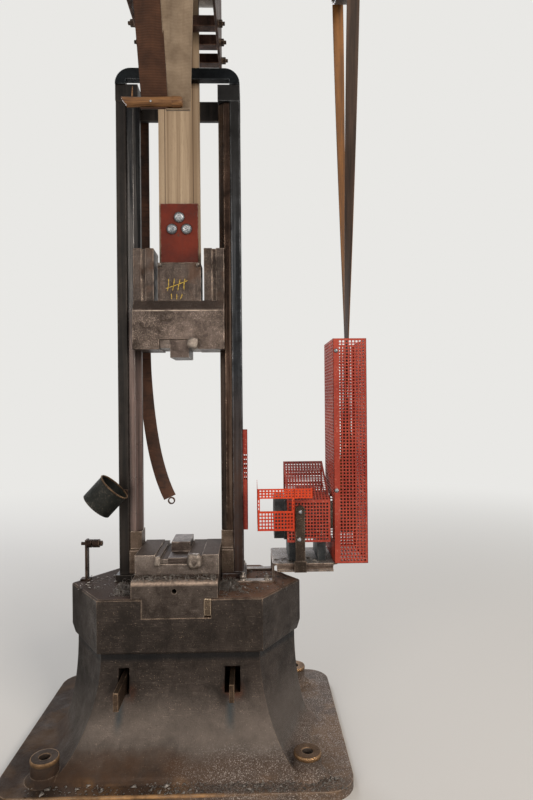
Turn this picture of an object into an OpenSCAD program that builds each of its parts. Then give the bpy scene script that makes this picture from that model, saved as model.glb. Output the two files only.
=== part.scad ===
// Board drop hammer, about 260 kg of falling weight, with its motor drive.
// Millimetres. X runs to the right, Y away from the smith's front, Z up.
// The origin is on the floor, under the middle of the base plate.

/* [Base casting] */
// Width of the base plate, left to right
plate_w = 1470; // [1340:10:1700]
// Depth of the base plate, front to back
plate_d = 1060; // [960:10:1300]
// Thickness of the base plate
plate_t = 40; // [25:1:70]
// Corner radius of the base plate
plate_r = 115; // [60:5:160]
// Diameter of a foundation bolt boss
boss_d = 115; // [90:1:140]
// Height of a foundation bolt boss above the plate
boss_h = 85; // [50:1:110]
// Height and width of the sloping skirt at the foot of a boss
boss_skirt = 24; // [8:1:34]
// Diameter of a foundation bolt hole
bolt_hole_d = 46; // [30:1:60]
// Spacing of the foundation bolts, left to right
bolt_x = 1094; // [1040:2:1140]
// Spacing of the foundation bolts, front to back
bolt_y = 794; // [780:2:830]
// Width of the anvil head across its side corners
head_w = 1100; // [1000:10:1200]
// Width of the front face of the anvil head
head_front_w = 730; // [660:10:800]
// Depth of the anvil head
head_d = 520; // [500:10:600]
// Height of the top of the anvil head above the floor
head_top = 726; // [700:1:780]
// Height of the waist, where the head overhangs the pedestal
waist_z = 483; // [460:1:520]
// Overhang of the head past the waist
waist_step = 14; // [4:1:18]
// Width of the front of the pedestal where it meets the plate
foot_front_w = 990; // [900:10:1010]
// Width of the pedestal across its side corners where it meets the plate
foot_w = 1240; // [1150:10:1250]
// Depth of the pedestal where it meets the plate
foot_d = 870; // [760:10:870]
// How far the foot of the flare sweeps out over the plate
foot_sweep = 44; // [20:2:44]

/* [Anvil tools] */
// Offset of the hammer line from the middle of the base, left to right
line_x = -24; // [-40:1:0]
// Offset of the hammer line from the middle of the base, front to back
line_y = 73; // [60:1:80]
// Offset of the recess and of the die channel from the hammer line
tool_shift = 8; // [0:1:12]
// Offset of the dies from the hammer line
die_shift = 4; // [0:1:8]
// Width of the recess in the anvil head
recess_w = 306; // [260:2:320]
// Depth of the recess in the anvil head
recess_h = 86; // [60:1:110]
// Width of the upper part of the sow block
sow_w = 383; // [340:1:384]
// Height of the sow block above the anvil head
sow_h = 77; // [60:1:90]
// Radius of the worn top edges of the sow block
sow_edge = 14; // [4:1:20]
// Thickness of the key beside the sow block
key_w = 30; // [20:1:40]
// Height of the lifting hole in the sow block above the anvil head
sow_hole_up = 33; // [20:1:45]
// Diameter of the lifting hole in the sow block
sow_hole_d = 22; // [14:1:30]
// Width of the die holder
holder_w = 384; // [340:1:385]
// Depth of the die holder
holder_d = 307; // [260:1:320]
// Height of the die holder
holder_h = 91; // [80:1:110]
// Width of the channel in the die holder
channel_w = 215; // [190:1:240]
// Depth of the channel in the die holder
channel_h = 41; // [25:1:50]
// Width of the dies
die_w = 90; // [70:1:96]
// Depth of the dies, front to back
die_d = 160; // [120:1:180]
// Height of the lower die above the holder
die_rise = 31; // [15:1:50]
// Thickness of the packing at the left of the lower die
packing_w = 26; // [15:1:40]

/* [Pedestal cotters] */
// Spacing of the cotter slots
slot_gap = 479; // [440:1:520]
// Offset of the pair of slots from the hammer line
slot_shift = 14; // [-20:1:20]
// Width of the left cotter slot
left_slot_w = 48; // [40:1:80]
// Width of the right cotter slot
slot_w = 69; // [50:1:80]
// Height of a cotter slot
slot_h = 108; // [90:1:120]
// Height of the slot floor above the ground
slot_z = 312; // [290:1:340]
// Depth of a slot into the casting
slot_depth = 200; // [150:5:240]
// Thickness of a cotter
cotter_t = 21; // [12:1:30]
// Height of a cotter
cotter_h = 76; // [60:1:85]
// How far the left cotter stands out of the casting
cotter_out = 150; // [80:5:180]
// How far the right cotter stands out of the casting
right_cotter_out = 96; // [60:2:180]

/* [Columns and guides] */
// Distance over the outsides of the columns
cols_w = 606; // [590:1:660]
// Width of a column, left to right
col_w = 50; // [40:1:60]
// Depth of a column
col_d = 110; // [100:1:130]
// Height of the top of the columns above the floor
col_top = 3144; // [3100:2:3200]
// Thickness of the sole of a column
sole_t = 34; // [20:1:40]
// How far a sole stands out in front of its column
sole_out = 26; // [10:1:40]
// Clear opening between the guide noses
opening_w = 389; // [386:1:396]
// Depth of a guide at its root
guide_d = 90; // [80:1:100]
// Depth of the flat nose of a guide
nose_d = 28; // [16:1:40]
// Height of the bottom of the guides above the floor
guide_z = 962; // [940:1:966]
// Height of the cap block at the top of a column
cap_h = 79; // [60:1:100]
// Running clearance of the ram on its guides
guide_gap = 0.8; // [0.5:0.1:3]
// Thickness of the arch tie between the columns
arch_t = 54; // [40:1:70]
// Drop of the arch tie at its ends
arch_drop = 23; // [10:1:40]
// Depth of the arch tie
arch_d = 40; // [30:1:42]
// Height of the cross tie behind the columns
tie_h = 97; // [60:1:120]
// Thickness of the cross tie behind the columns
tie_t = 22; // [12:1:30]
// Height of the underside of the cross tie above the floor
tie_z = 3020; // [3000:2:3040]

/* [Ram] */
// Width of the ram
ram_w = 440; // [430:1:444]
// Depth of the ram block
ram_d = 216; // [200:1:230]
// Height of the ram block
ram_h = 185; // [160:1:210]
// Height and depth of the sloping shoulder above the block
shoulder = 53; // [20:1:70]
// Height of the underside of the ram at rest above the floor
ram_z = 1848; // [1800:2:1900]
// Height of the ram legs above the block
leg_h = 308; // [260:2:330]
// Width of a ram leg
leg_w = 98; // [90:1:104]
// Width of the oil groove in the front of a leg
groove_w = 20; // [10:1:26]
// Depth of the ram legs
leg_d = 150; // [140:1:160]
// Height of the middle web above the block
web_h = 241; // [200:1:250]
// Depth of the middle web
web_d = 120; // [110:1:130]
// Width of the middle web
web_w = 209; // [190:1:230]
// Width of the die slot under the ram
ram_slot_w = 186; // [160:1:196]
// Height of the die slot under the ram
ram_slot_h = 48; // [35:1:60]
// Height of the upper die below the ram
upper_die_drop = 40; // [20:1:60]

/* [Lifting board] */
// Width of the board
board_w = 202; // [180:1:206]
// Thickness of the board
board_t = 40; // [34:1:42]
// Length of the board above its seat
board_l = 2560; // [2500:10:2700]
// Depth of the seat of the board in the ram web
board_seat = 60; // [40:1:90]
// Width of the clamp plates
clamp_w = 184; // [160:1:198]
// Height of the clamp plates
clamp_h = 290; // [260:1:320]
// Thickness of a clamp plate
clamp_t = 16; // [10:1:16]
// Diameter of the clamp bolts
clamp_bolt_d = 30; // [20:1:36]

/* [Roll box] */
// Height of the underside of the roll box above the floor
box_z = 3406; // [3380:2:3440]
// Height of the cheeks of the roll box
box_h = 620; // [600:5:700]
// Thickness of a cheek
cheek_t = 12; // [8:1:20]
// Distance between the cheeks
box_w = 374; // [360:1:400]
// Height of the roll axes above the underside of the roll box
roll_up = 394; // [374:2:424]
// Radius of the rolls
roll_r = 120; // [90:1:130]
// Clearance of the released rolls from the board
roll_gap = 5; // [5:0.5:8]
// Radius of the roll shafts
shaft_r = 28; // [20:1:34]
// Radius of the big belt pulley
pulley_r = 265; // [230:1:280]
// Width of the belt pulleys
pulley_w = 80; // [66:1:100]

/* [Motor drive] */
// Distance of the drive belt from the middle of the base
belt_x = 790; // [770:1:820]
// Width of the drive belt
belt_w = 58; // [50:1:62]
// Thickness of the drive belt
belt_t = 6; // [4:0.5:8]
// Height of the motor axis above the floor
motor_z = 1026; // [1010:1:1050]
// Distance of the motor axis behind the middle of the base
motor_y = 62; // [50:1:80]
// Radius of the motor housing
motor_r = 118; // [100:1:125]
// Length of the motor housing
motor_l = 215; // [180:1:230]
// Radius of the motor pulley
motor_pulley_r = 80; // [60:1:90]
// Radius of the motor shaft
motor_shaft_r = 19; // [14:1:24]
// Height of the top of the motor shelf above the floor
shelf_z = 826; // [800:1:850]
// Length of the motor shelf, left to right
shelf_w = 312; // [290:1:330]
// Depth of the motor shelf
shelf_d = 300; // [260:1:330]
// Height of the rails under the motor shelf
shelf_h = 40; // [30:1:60]
// Thickness of the guard sheet
sheet_t = 2.5; // [1.5:0.5:4]
// Height of the top of the belt guard above the floor
guard_top = 1888; // [1700:2:1950]
// Width of the belt guard
belt_guard_w = 158; // [140:1:180]
// How far the belt guard reaches to the left of the middle of the belt
belt_guard_left = 80; // [70:1:90]
// How far the motor guard reaches behind the motor's axis
guard_reach = 165; // [155:1:180]
// Height of the fold of the motor guard above the motor's axis
fold_up = 96; // [90:1:110]
// Height of the back edge of the motor guard above the motor's axis
guard_back_up = 250; // [230:1:260]
// Height of the lower edge of the motor guard above the shelf
guard_lift = 100; // [80:1:104]
// Length of the fan guard, left to right
fan_guard_w = 140; // [120:1:170]
// Height of the fan guard
fan_guard_h = 196; // [170:1:220]
// Height of the lower end of the column guard above the floor
strip_z = 963; // [940:1:1000]
// Length of the column guard
strip_l = 490; // [400:5:560]
// Width of the column guard, front to back
strip_w = 76; // [60:1:90]
// How far the column guard stands off the column
strip_out = 22; // [14:1:30]

/* [Belts and fittings] */
// Width of the brown hanging belt at its bar, and at the stick
brown_w = 126; // [100:1:140]
brown_low_w = 114; // [90:1:126]
// Width of the pale hanging belt at its bar, and at the stick
pale_w = 158; // [120:1:170]
pale_low_w = 103; // [90:1:130]
// Height of the bar that the belts hang from above the underside of the roll box
hang_up = 114; // [90:2:160]
// Length of the wooden stick at the end of the hanging belts
stick_l = 272; // [240:1:320]
// Radius of the wooden stick
stick_r = 22; // [14:1:26]
// Height of the stick above the floor
stick_z = 2881; // [2840:1:2940]
// Distance of the hanging belts in front of the middle of the base
hang_y = 330; // [300:1:360]
// Diameter of the lubricant can
can_d = 155; // [120:1:170]
// Length of the lubricant can
can_l = 124; // [100:1:150]

/* [Hidden] */
$fn = 64;

// Colours, as the surfaces look in daylight
iron = [0.23, 0.19, 0.17];
worn_iron = [0.36, 0.31, 0.28];
steel = [0.30, 0.29, 0.29];
guard_red = [0.72, 0.16, 0.09];
clamp_red = [0.55, 0.17, 0.10];
beech = [0.80, 0.66, 0.46];
leather = [0.16, 0.11, 0.09];

// Radial play of a shaft in its bearing, and the gap under a belt or a strap
run_gap = 0.08;
seat_gap = 0.3;

// Heights and places that follow from the sizes above
roll_z = box_z + roll_up;
recess_z = head_top - recess_h;
recess_x = line_x + tool_shift - recess_w / 2;
channel_x = line_x + tool_shift - channel_w / 2;
die_x = line_x + die_shift;
sow_top = head_top + sow_h;
holder_top = sow_top + holder_h;
channel_z = holder_top - channel_h;
die_top = holder_top + die_rise;
holder_y = -10;
front_y = -head_d / 2;
slot_x = [for (s = [-1, 1]) line_x + slot_shift + s * slot_gap / 2];
sole_z = head_top + sole_t;
col_in = cols_w / 2 - col_w;
nose_x = opening_w / 2;
guide_top = col_top - cap_h;
arch_top = col_top + arch_drop + arch_t;
arch_front = line_y - col_d / 2 - 10;
tie_y = line_y + col_d / 2;
ram_front = line_y - ram_d / 2;
block_top = ram_z + ram_h;
leg_top = block_top + leg_h;
web_top = block_top + web_h;
upper_die_z = ram_z - upper_die_drop;
board_z = web_top - board_seat;
board_front = line_y - board_t / 2;
board_back = line_y + board_t / 2;
drive_y = board_front - roll_gap - roll_r;
rear_y = board_back + roll_gap + roll_r;
box_top = box_z + box_h;
box_front = drive_y - roll_r - 60;
box_back = rear_y + roll_r + 60;
cheek_in = box_w / 2;
shelf_x = belt_x - 62 - shelf_w;
shelf_y = motor_y - shelf_d / 2;
motor_x = shelf_x + 62;
guard_front = shelf_y;
guard_back = motor_y + guard_reach;
guard_lip = 10;
belt_guard_x = belt_x - belt_guard_left;
motor_guard_x = motor_x + 9;
motor_guard_end = belt_guard_x - 18;
ram_back = line_y + ram_d / 2;

// A rectangle with round corners, centred
module round_plate(w, d, r) {
    square([w - 2 * r, d], center = true);
    square([w, d - 2 * r], center = true);
    for (sx = [-1, 1], sy = [-1, 1])
        translate([sx * (w / 2 - r), sy * (d / 2 - r)]) circle(r);
}

// A box from one corner to the opposite one
module block(a, b) {
    translate(a) cube(b - a);
}

// A round bar along X from x0 to x1
module bar_x(x0, x1, y, z, r) {
    translate([x0, y, z]) rotate([0, 90, 0]) cylinder(h = x1 - x0, r = r);
}

// A round bar along Y from y0 to y1
module bar_y(y0, y1, x, z, r) {
    translate([x, y1, z]) rotate([90, 0, 0]) cylinder(h = y1 - y0, r = r);
}

// Six-sided plan of the pedestal: half width of the front, half width at the sides, half depth
function hexagon(f, s, d, z) =
    [[f, -d, z], [s, 0, z], [f, d, z], [-f, d, z], [-s, 0, z], [-f, -d, z]];

// Faces that join rings of six points into one closed skin
function ring_skin(rings) = concat(
    [[0, 1, 2, 3, 4, 5]],
    [[for (i = [5:-1:0]) (rings - 1) * 6 + i]],
    [for (k = [0:rings - 2], i = [0:5]) [k * 6 + i, (k + 1) * 6 + i, (k + 1) * 6 + (i + 1) % 6]],
    [for (k = [0:rings - 2], i = [0:5]) [k * 6 + i, (k + 1) * 6 + (i + 1) % 6, k * 6 + (i + 1) % 6]]
);

// The flare runs from the foot (0) to the waist (1) in a hollow curve
flare_steps = 20;
function flare(t) = pow(1 - t, 2.2);
function sweep(t) = foot_sweep * pow(1 - t, 15);
function flare_ring(t) = hexagon(
    head_front_w / 2 - waist_step + (foot_front_w - head_front_w) / 2 * flare(t) + sweep(t),
    head_w / 2 - 2 * waist_step + (foot_w - head_w) / 2 * flare(t) + sweep(t),
    head_d / 2 - waist_step + (foot_d - head_d) / 2 * flare(t) + sweep(t),
    plate_t - 1 + (waist_z - plate_t + 1) * t
);
head_edge = 6;
pedestal_rings = concat(
    [for (k = [0:flare_steps]) flare_ring(pow(k / flare_steps, 1.6))],
    [
        hexagon(head_front_w / 2, head_w / 2 - waist_step, head_d / 2, waist_z + 6),
        hexagon(head_front_w / 2, head_w / 2, head_d / 2, waist_z + 50),
        hexagon(head_front_w / 2, head_w / 2, head_d / 2, head_top - head_edge),
        hexagon(head_front_w / 2 - head_edge, head_w / 2 - head_edge, head_d / 2 - head_edge, head_top)
    ]
);

module base_casting() {
    color(iron) difference() {
        union() {
            linear_extrude(plate_t) round_plate(plate_w, plate_d, plate_r);
            polyhedron([for (r = pedestal_rings, p = r) p], ring_skin(len(pedestal_rings)));
            for (sx = [-1, 1], sy = [-1, 1]) translate([sx * bolt_x / 2, sy * bolt_y / 2, 1]) {
                cylinder(h = plate_t + boss_h - 1, d = boss_d);
                translate([0, 0, plate_t - 2])
                    cylinder(h = boss_skirt + 1, d1 = boss_d + 2 * boss_skirt, d2 = boss_d - 2);
            }
        }
        translate([recess_x, -head_d, recess_z])
            cube([recess_w, 2 * head_d, recess_h + 10]);
        for (c = [[slot_x[0], left_slot_w], [slot_x[1], slot_w]])
            translate([c[0] - c[1] / 2, front_y - 100, slot_z]) cube([c[1], 100 + slot_depth, slot_h]);
        for (sx = [-1, 1], sy = [-1, 1])
            translate([sx * bolt_x / 2, sy * bolt_y / 2, -1])
                cylinder(h = plate_t + boss_h + 2, d = bolt_hole_d);
    }
}

// Neck in the recess and the wider block on top, with worn front and back edges
module sow_block() {
    color(worn_iron) difference() {
        union() {
            block([recess_x, front_y, recess_z], [recess_x + recess_w - key_w, -front_y, head_top + 1]);
            translate([line_x - sow_w / 2, 0, 0]) rotate([90, 0, 90]) linear_extrude(sow_w) {
                translate([front_y, head_top]) square([head_d, sow_h - sow_edge]);
                translate([front_y + sow_edge, head_top]) square([head_d - 2 * sow_edge, sow_h]);
                for (s = [-1, 1])
                    translate([s * (head_d / 2 - sow_edge), sow_top - sow_edge]) circle(sow_edge);
            }
        }
        bar_y(front_y - 1, front_y + 60, line_x, head_top + sow_hole_up, sow_hole_d / 2);
    }
}

module sow_key() {
    x = recess_x + recess_w - key_w;
    color(worn_iron) block([x, front_y - 6, recess_z + 12], [x + key_w, -front_y + 20, head_top]);
}

module die_holder() {
    color(worn_iron) difference() {
        block([line_x - holder_w / 2, holder_y - holder_d / 2, sow_top],
              [line_x + holder_w / 2, holder_y + holder_d / 2, holder_top]);
        block([channel_x, holder_y - holder_d, channel_z],
              [channel_x + channel_w, holder_y + holder_d, holder_top + 1]);
    }
}

die_base_h = 26;
die_y0 = line_y - 33 - die_d / 2;
module lower_die() {
    color(steel) {
        block([die_x - die_w / 2, holder_y - holder_d / 2 + 8, channel_z],
              [die_x + die_w / 2, holder_y + holder_d / 2 - 8, channel_z + die_base_h]);
        block([die_x - die_w / 2, die_y0, channel_z + die_base_h],
              [die_x + die_w / 2, die_y0 + die_d, die_top]);
    }
}

// Driving wedge whose struck end has spread under the sledge
module wedge(x0, x1, y0, y1, z0, z1, head) {
    block([x0, y0, z0], [x1, y1, z1]);
    translate([(x0 + x1) / 2, y0 - 4, (z0 + z1) / 2]) scale([1, 0.55, 1])
        sphere(r = head, $fn = 20);
}

module lower_die_wedge() {
    color(worn_iron) wedge(die_x + die_w / 2, channel_x + channel_w,
        holder_y - holder_d / 2 - 14, holder_y + holder_d / 2 + 10, channel_z, holder_top - 4, 31);
}

module lower_die_packing() {
    x = channel_x;
    color(worn_iron) {
        block([x, holder_y - holder_d / 2 - 8, channel_z],
              [x + packing_w, holder_y + holder_d / 2 + 6, holder_top - 6]);
        block([x + packing_w, holder_y - holder_d / 2 + 4, channel_z],
              [die_x - die_w / 2, holder_y + holder_d / 2 - 4, channel_z + die_base_h - 4]);
    }
}

// Flat bars on edge, driven into the pedestal slots
module cotters() {
    for (c = [[slot_x[0], cotter_out], [slot_x[1], right_cotter_out]])
        color(worn_iron) block([c[0] - cotter_t / 2, front_y - c[1], slot_z],
            [c[0] + cotter_t / 2, front_y + slot_depth, slot_z + cotter_h]);
}

// A rectangle with its four corners cut by c, from one corner to the opposite one
module cut_rect(a, b, c) {
    polygon([[a.x + c, a.y], [b.x - c, a.y], [b.x, a.y + c], [b.x, b.y - c],
        [b.x - c, b.y], [a.x + c, b.y], [a.x, b.y - c], [a.x, a.y + c]]);
}

// Flat bar column on a sole, with a cap block that covers the guide's top end
module right_column() {
    y0 = line_y - col_d / 2;
    color(iron) translate([line_x, 0, 0]) {
        translate([0, 0, sole_z - 1]) linear_extrude(col_top - sole_z + 1)
            cut_rect([col_in, y0], [cols_w / 2, y0 + col_d], 4);
        block([nose_x + 4, y0 - sole_out, head_top], [cols_w / 2 + 12, y0 + col_d + 20, sole_z]);
        block([nose_x, y0 - 4, guide_top], [cols_w / 2, y0 + col_d, col_top]);
    }
}

module left_column() { mirror_line() right_column(); }

// The left side repeats the right one, across the hammer line
module mirror_line() {
    translate([line_x, 0, 0]) mirror([1, 0, 0]) translate([-line_x, 0, 0]) children();
}

// Guide with a blunt V nose that the ram straddles
module right_guide() {
    root = ram_w / 2 + 2;
    color(steel) translate([line_x, line_y, guide_z]) linear_extrude(guide_top - guide_z)
        polygon([[col_in, -guide_d / 2], [col_in, guide_d / 2], [root, guide_d / 2],
            [nose_x, nose_d / 2], [nose_x, -nose_d / 2], [root, -guide_d / 2]]);
}
module left_guide() { mirror_line() right_guide(); }

// Stepped block under each guide
module guide_foot() {
    toe = 110;
    color(iron) translate([line_x, line_y, 0]) {
        block([nose_x, -guide_d / 2, sole_z + 1], [col_in, guide_d / 2, guide_z]);
        translate([nose_x, 0, sole_z]) rotate([90, 0, 90]) linear_extrude(col_in - nose_x)
            polygon([[-guide_d / 2 - 12, 0], [0, 0], [0, toe + 14], [-guide_d / 2, toe + 8],
                [-guide_d / 2 - 12, toe]]);
    }
}
module guide_feet() {
    guide_foot();
    mirror_line() guide_foot();
}

// Shallow inverted U that ties the column tops in front of the board
module arch_tie() {
    r = arch_t + arch_drop - 2;
    color(steel) translate([line_x, arch_front + arch_d, 0]) rotate([90, 0, 0])
        linear_extrude(arch_d) difference() {
            union() {
                translate([-cols_w / 2, col_top]) square([cols_w, arch_top - r - col_top]);
                translate([-cols_w / 2 + r, col_top]) square([cols_w - 2 * r, arch_top - col_top]);
                for (s = [-1, 1])
                    translate([s * (cols_w / 2 - r), arch_top - r]) intersection() {
                        circle(r);
                        translate([-r, 0]) square([2 * r, r]);
                    }
            }
            translate([-col_in, col_top - 1]) square([2 * col_in, arch_drop + 1]);
        }
}

// Flat bar across the backs of the columns, with a peg for the pull strap
peg_r = 12;
module cross_tie() {
    color(iron) {
        block([line_x - cols_w / 2, tie_y, tie_z], [line_x + cols_w / 2, tie_y + tie_t, tie_z + tie_h]);
        bar_y(tie_y + tie_t - 1, strap_y + strap_t + 12, strap_x, peg_z, peg_r);
    }
}

post_w = 46;
post_x = 62;
module head_posts() {
    color(iron) for (s = [-1, 1])
        block([line_x + s * post_x - post_w / 2, tie_y, tie_z + tie_h],
              [line_x + s * post_x + post_w / 2, tie_y + tie_t, box_z]);
}

// Side plate of the roll box at x, with a bearing flange on its outside s round each shaft bore
bearing_r = shaft_r + 38;
flange_t = 16;
module cheek(x, s) {
    flange_x = s < 0 ? x - flange_t : x + cheek_t - 1;
    color(iron) difference() {
        union() {
            translate([x, 0, 0]) rotate([90, 0, 90]) linear_extrude(cheek_t)
                translate([(box_front + box_back) / 2, box_z + box_h / 2])
                    round_plate(box_back - box_front, box_h, 40);
            for (y = [drive_y, rear_y])
                bar_x(flange_x, flange_x + flange_t + 1, y, roll_z, bearing_r);
        }
        for (y = [drive_y, rear_y])
            bar_x(x - flange_t - 1, x + cheek_t + flange_t + 1, y, roll_z, shaft_r + run_gap);
    }
}
module box_cheeks() {
    cheek(line_x - cheek_in - cheek_t, -1);
    cheek(line_x + cheek_in, 1);
}

// Four cross rails between the cheeks: two low ones beside the board, two high ones
rail = 50;
module box_rails() {
    lip = 24;
    color(iron) for (y = [board_front - 30 - rail, tie_y - 6], z = [box_z, box_top - rail])
        block([line_x - cheek_in, y, z], [line_x + cheek_in, y + rail, z + rail]);
    color(iron) for (y = [box_front + lip, box_back - lip - rail])
        block([line_x - cheek_in, y, box_z + lip], [line_x + cheek_in, y + rail, box_z + lip + rail]);
}

arm_x0 = line_x + cheek_in + cheek_t;
arm_end = belt_x + pulley_w / 2 + 30;
bearing_w = 70;
arm_h = 60;
// Arm that carries the outer bearing of the pulley shaft
module outboard_arm() {
    z0 = roll_z + pulley_r + belt_t + 30;
    color(iron) {
        block([arm_x0, drive_y - 40, z0], [arm_end + bearing_w, drive_y + 40, z0 + arm_h]);
        block([arm_x0, drive_y - 40, roll_z + bearing_r + 4], [arm_x0 + 14, drive_y + 40, z0 + 1]);
        difference() {
            block([arm_end, drive_y - 50, roll_z - 55], [arm_end + bearing_w, drive_y + 50, z0 + 1]);
            bar_x(arm_end - 1, arm_end + bearing_w + 1, drive_y, roll_z, shaft_r + run_gap);
        }
    }
}

// Friction roll with its shaft from x0 to x1
module roll(y, x0, x1) {
    bar_x(line_x - cheek_in + 8, line_x + cheek_in - 8, y, roll_z, roll_r);
    bar_x(x0, x1, y, roll_z, shaft_r);
}
module drive_roll() {
    color(steel) roll(drive_y, line_x - cheek_in - cheek_t - 20, arm_end + bearing_w + 10);
}
module rear_roll() {
    color(steel) roll(rear_y, line_x - cheek_in - cheek_t - 20, line_x + cheek_in + cheek_t + 20);
}

// Flat belt pulley with a hub, six arms and a rim
module pulley(r, w, bore, y, z) {
    rim = 9;
    translate([belt_x, y, z]) rotate([0, 90, 0]) {
        difference() {
            cylinder(h = w, r = r, center = true);
            cylinder(h = w + 2, r = r - rim, center = true);
        }
        difference() {
            union() {
                cylinder(h = w, r = bore + 22, center = true);
                for (a = [0:60:300]) rotate([0, 0, a])
                    translate([bore + 12, -11, -9]) cube([r - rim - bore - 8, 22, 18]);
            }
            cylinder(h = w + 2, r = bore, center = true);
        }
    }
}
module drive_pulley() { color(steel) pulley(pulley_r, pulley_w, shaft_r, drive_y, roll_z); }

// Shelf plate on two rails
shelf_rail = 20;
module motor_shelf() {
    color(worn_iron) {
        translate([shelf_x + shelf_w / 2, shelf_y + shelf_d / 2, shelf_z - 8])
            linear_extrude(8) round_plate(shelf_w, shelf_d, 22);
        shelf_channel();
        translate([0, 2 * shelf_y + shelf_d, 0]) mirror([0, 1, 0]) shelf_channel();
    }
}

// Rolled channel that opens outwards
module shelf_channel() {
    web = 6;
    h = shelf_h - 7;
    translate([shelf_x + 22, shelf_y, shelf_z - shelf_h]) rotate([90, 0, 90]) linear_extrude(shelf_w - 44)
        polygon([[0, 0], [shelf_rail, 0], [shelf_rail, h], [0, h], [0, h - web], [shelf_rail - web, h - web],
            [shelf_rail - web, web], [0, web]]);
}

// Cranked flat bars from the head top up under the shelf
bracket_w = 40;
bracket_t = 10;
bracket_foot = 170;
bracket_bend = 16;
function bend(x, z, r, a0, a1) =
    [for (k = [0:8]) let (a = a0 + (a1 - a0) * k / 8) [x + r * cos(a), z + r * sin(a)]];
module shelf_brackets() {
    t = bracket_t;
    r = bracket_bend - t;
    low = head_top + bracket_bend;
    high = shelf_z - 8 - bracket_bend;
    color(worn_iron) for (y = [shelf_y + 36, shelf_y + shelf_d - shelf_rail - 2 - bracket_w])
        translate([shelf_x, y + bracket_w, 0]) rotate([90, 0, 0]) linear_extrude(bracket_w) polygon(concat(
            [[-bracket_foot, head_top]], bend(-r, low, bracket_bend, -90, 0),
            bend(bracket_bend, high, r, 180, 90), [[130, shelf_z - 8 - t], [130, shelf_z - 8]],
            bend(bracket_bend, high, bracket_bend, 90, 180), bend(-r, low, r, 0, -90),
            [[-bracket_foot, head_top + t]]));
}

// Motor with end bells, feet and a fan cowl at its left
fins = 22;
module motor_housing() {
    bell = 26;
    cowl = 48;
    body_r = motor_r - 12;
    color(steel) {
        difference() {
            union() {
                bar_x(motor_x, motor_x + motor_l, motor_y, motor_z, body_r);
                for (x = [motor_x, motor_x + motor_l - 12])
                    bar_x(x, x + 12, motor_y, motor_z, motor_r);
                for (k = [0:fins - 1])
                    translate([motor_x + 6, motor_y, motor_z]) rotate([k * 360 / fins, 0, 0])
                        translate([0, -2, body_r - 4]) cube([motor_l - 12, 4, motor_r - body_r + 2]);
                bar_x(motor_x - cowl, motor_x + 1, motor_y, motor_z, motor_r - 6);
                bar_x(motor_x + motor_l - 1, motor_x + motor_l + bell, motor_y, motor_z, motor_r - 50);
            }
            bar_x(motor_x + motor_l - 20, motor_x + motor_l + bell + 1, motor_y, motor_z,
                motor_shaft_r + run_gap);
            bar_x(motor_x - cowl - 1, motor_x - cowl + 4, motor_y, motor_z, motor_r - 12);
        }
        block([motor_x + 60, motor_y - 40, motor_z + body_r - 10],
              [motor_x + 155, motor_y + 40, motor_z + motor_r + 20]);
        for (x = [motor_x + 18, motor_x + motor_l - 58])
            block([x, motor_y - 110, shelf_z], [x + 40, motor_y + 110, motor_z - motor_r + 40]);
    }
}

module motor_pulley() {
    color(steel) {
        pulley(motor_pulley_r, pulley_w, motor_shaft_r, motor_y, motor_z);
        bar_x(motor_x + motor_l - 18, belt_x + pulley_w / 2, motor_y, motor_z, motor_shaft_r);
    }
}

// Sheet folded over the motor: front, sloping top and back, open below and at both ends
guard_low = shelf_z + guard_lift;
module motor_guard() {
    x0 = motor_guard_x;
    x1 = motor_guard_end;
    front_z = motor_z + fold_up;
    back_z = motor_z + guard_back_up;
    t = sheet_t;
    color(guard_red) translate([x0, 0, 0]) rotate([90, 0, 90]) linear_extrude(x1 - x0)
        polygon([[guard_front, guard_low], [guard_front, front_z], [guard_back, back_z],
            [guard_back, guard_low], [guard_back - t, guard_low], [guard_back - t, back_z - 1.5 * t],
            [guard_front + t, front_z - t], [guard_front + t, guard_low]]);
}

// Sheet box over the fan end of the motor, with a window in its front and a flap over the motor guard
module fan_guard() {
    x0 = motor_guard_x - fan_guard_w;
    x1 = motor_guard_x;
    flap = 34;
    y0 = guard_front - 40;
    y1 = motor_y + motor_r + 10;
    z0 = motor_z - 36;
    z1 = z0 + fan_guard_h;
    color(guard_red) difference() {
        union() {
            block([x0, y0, z0], [x1, y1, z1]);
            block([x1 - 1, y0, z0], [x1 + flap, guard_front, z1]);
        }
        block([x0 + sheet_t, y0 + sheet_t, z0 - 1], [x1 + 1, y1 - sheet_t, z1 - sheet_t]);
        block([x1 - 1, y0 + sheet_t, z0 - 1], [x1 + flap - sheet_t, guard_front + 1, z1 - sheet_t]);
        block([x0 + 12, y0 - 1, z1 - 104], [x1 + flap - 12, y0 + 4, z1 - 46]);
    }
}

// Tall sheet box round the lower part of the drive belt, open at the top and at the motor's shaft
module belt_guard() {
    x0 = belt_guard_x;
    x1 = x0 + belt_guard_w;
    open_r = 100;
    color(guard_red) difference() {
        block([x0, guard_front - guard_lip, shelf_z], [x1, guard_back + guard_lip, guard_top]);
        block([x0 + sheet_t, guard_front - guard_lip + sheet_t, shelf_z + sheet_t],
              [x1 - sheet_t, guard_back + guard_lip - sheet_t, guard_top + 1]);
        block([x0 - 1, motor_y - open_r, motor_z - open_r], [x0 + 4, motor_y + open_r, motor_z + open_r]);
    }
}

// Strap bar with a thicker foot, from the shelf up the front of the motor guard
strap_bar_w = 45;
module guard_strap() {
    x = motor_x + 48;
    top = motor_z + 76;
    r = strap_bar_w / 2;
    color(iron) {
        block([x, guard_front - 8, shelf_z - shelf_h], [x + strap_bar_w, guard_front, top - r]);
        bar_y(guard_front - 8, guard_front, x + r, top - r, r);
        block([x - 6, guard_front - 12, shelf_z - shelf_h], [x + strap_bar_w + 6, guard_front, shelf_z + 12]);
    }
}

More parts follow.
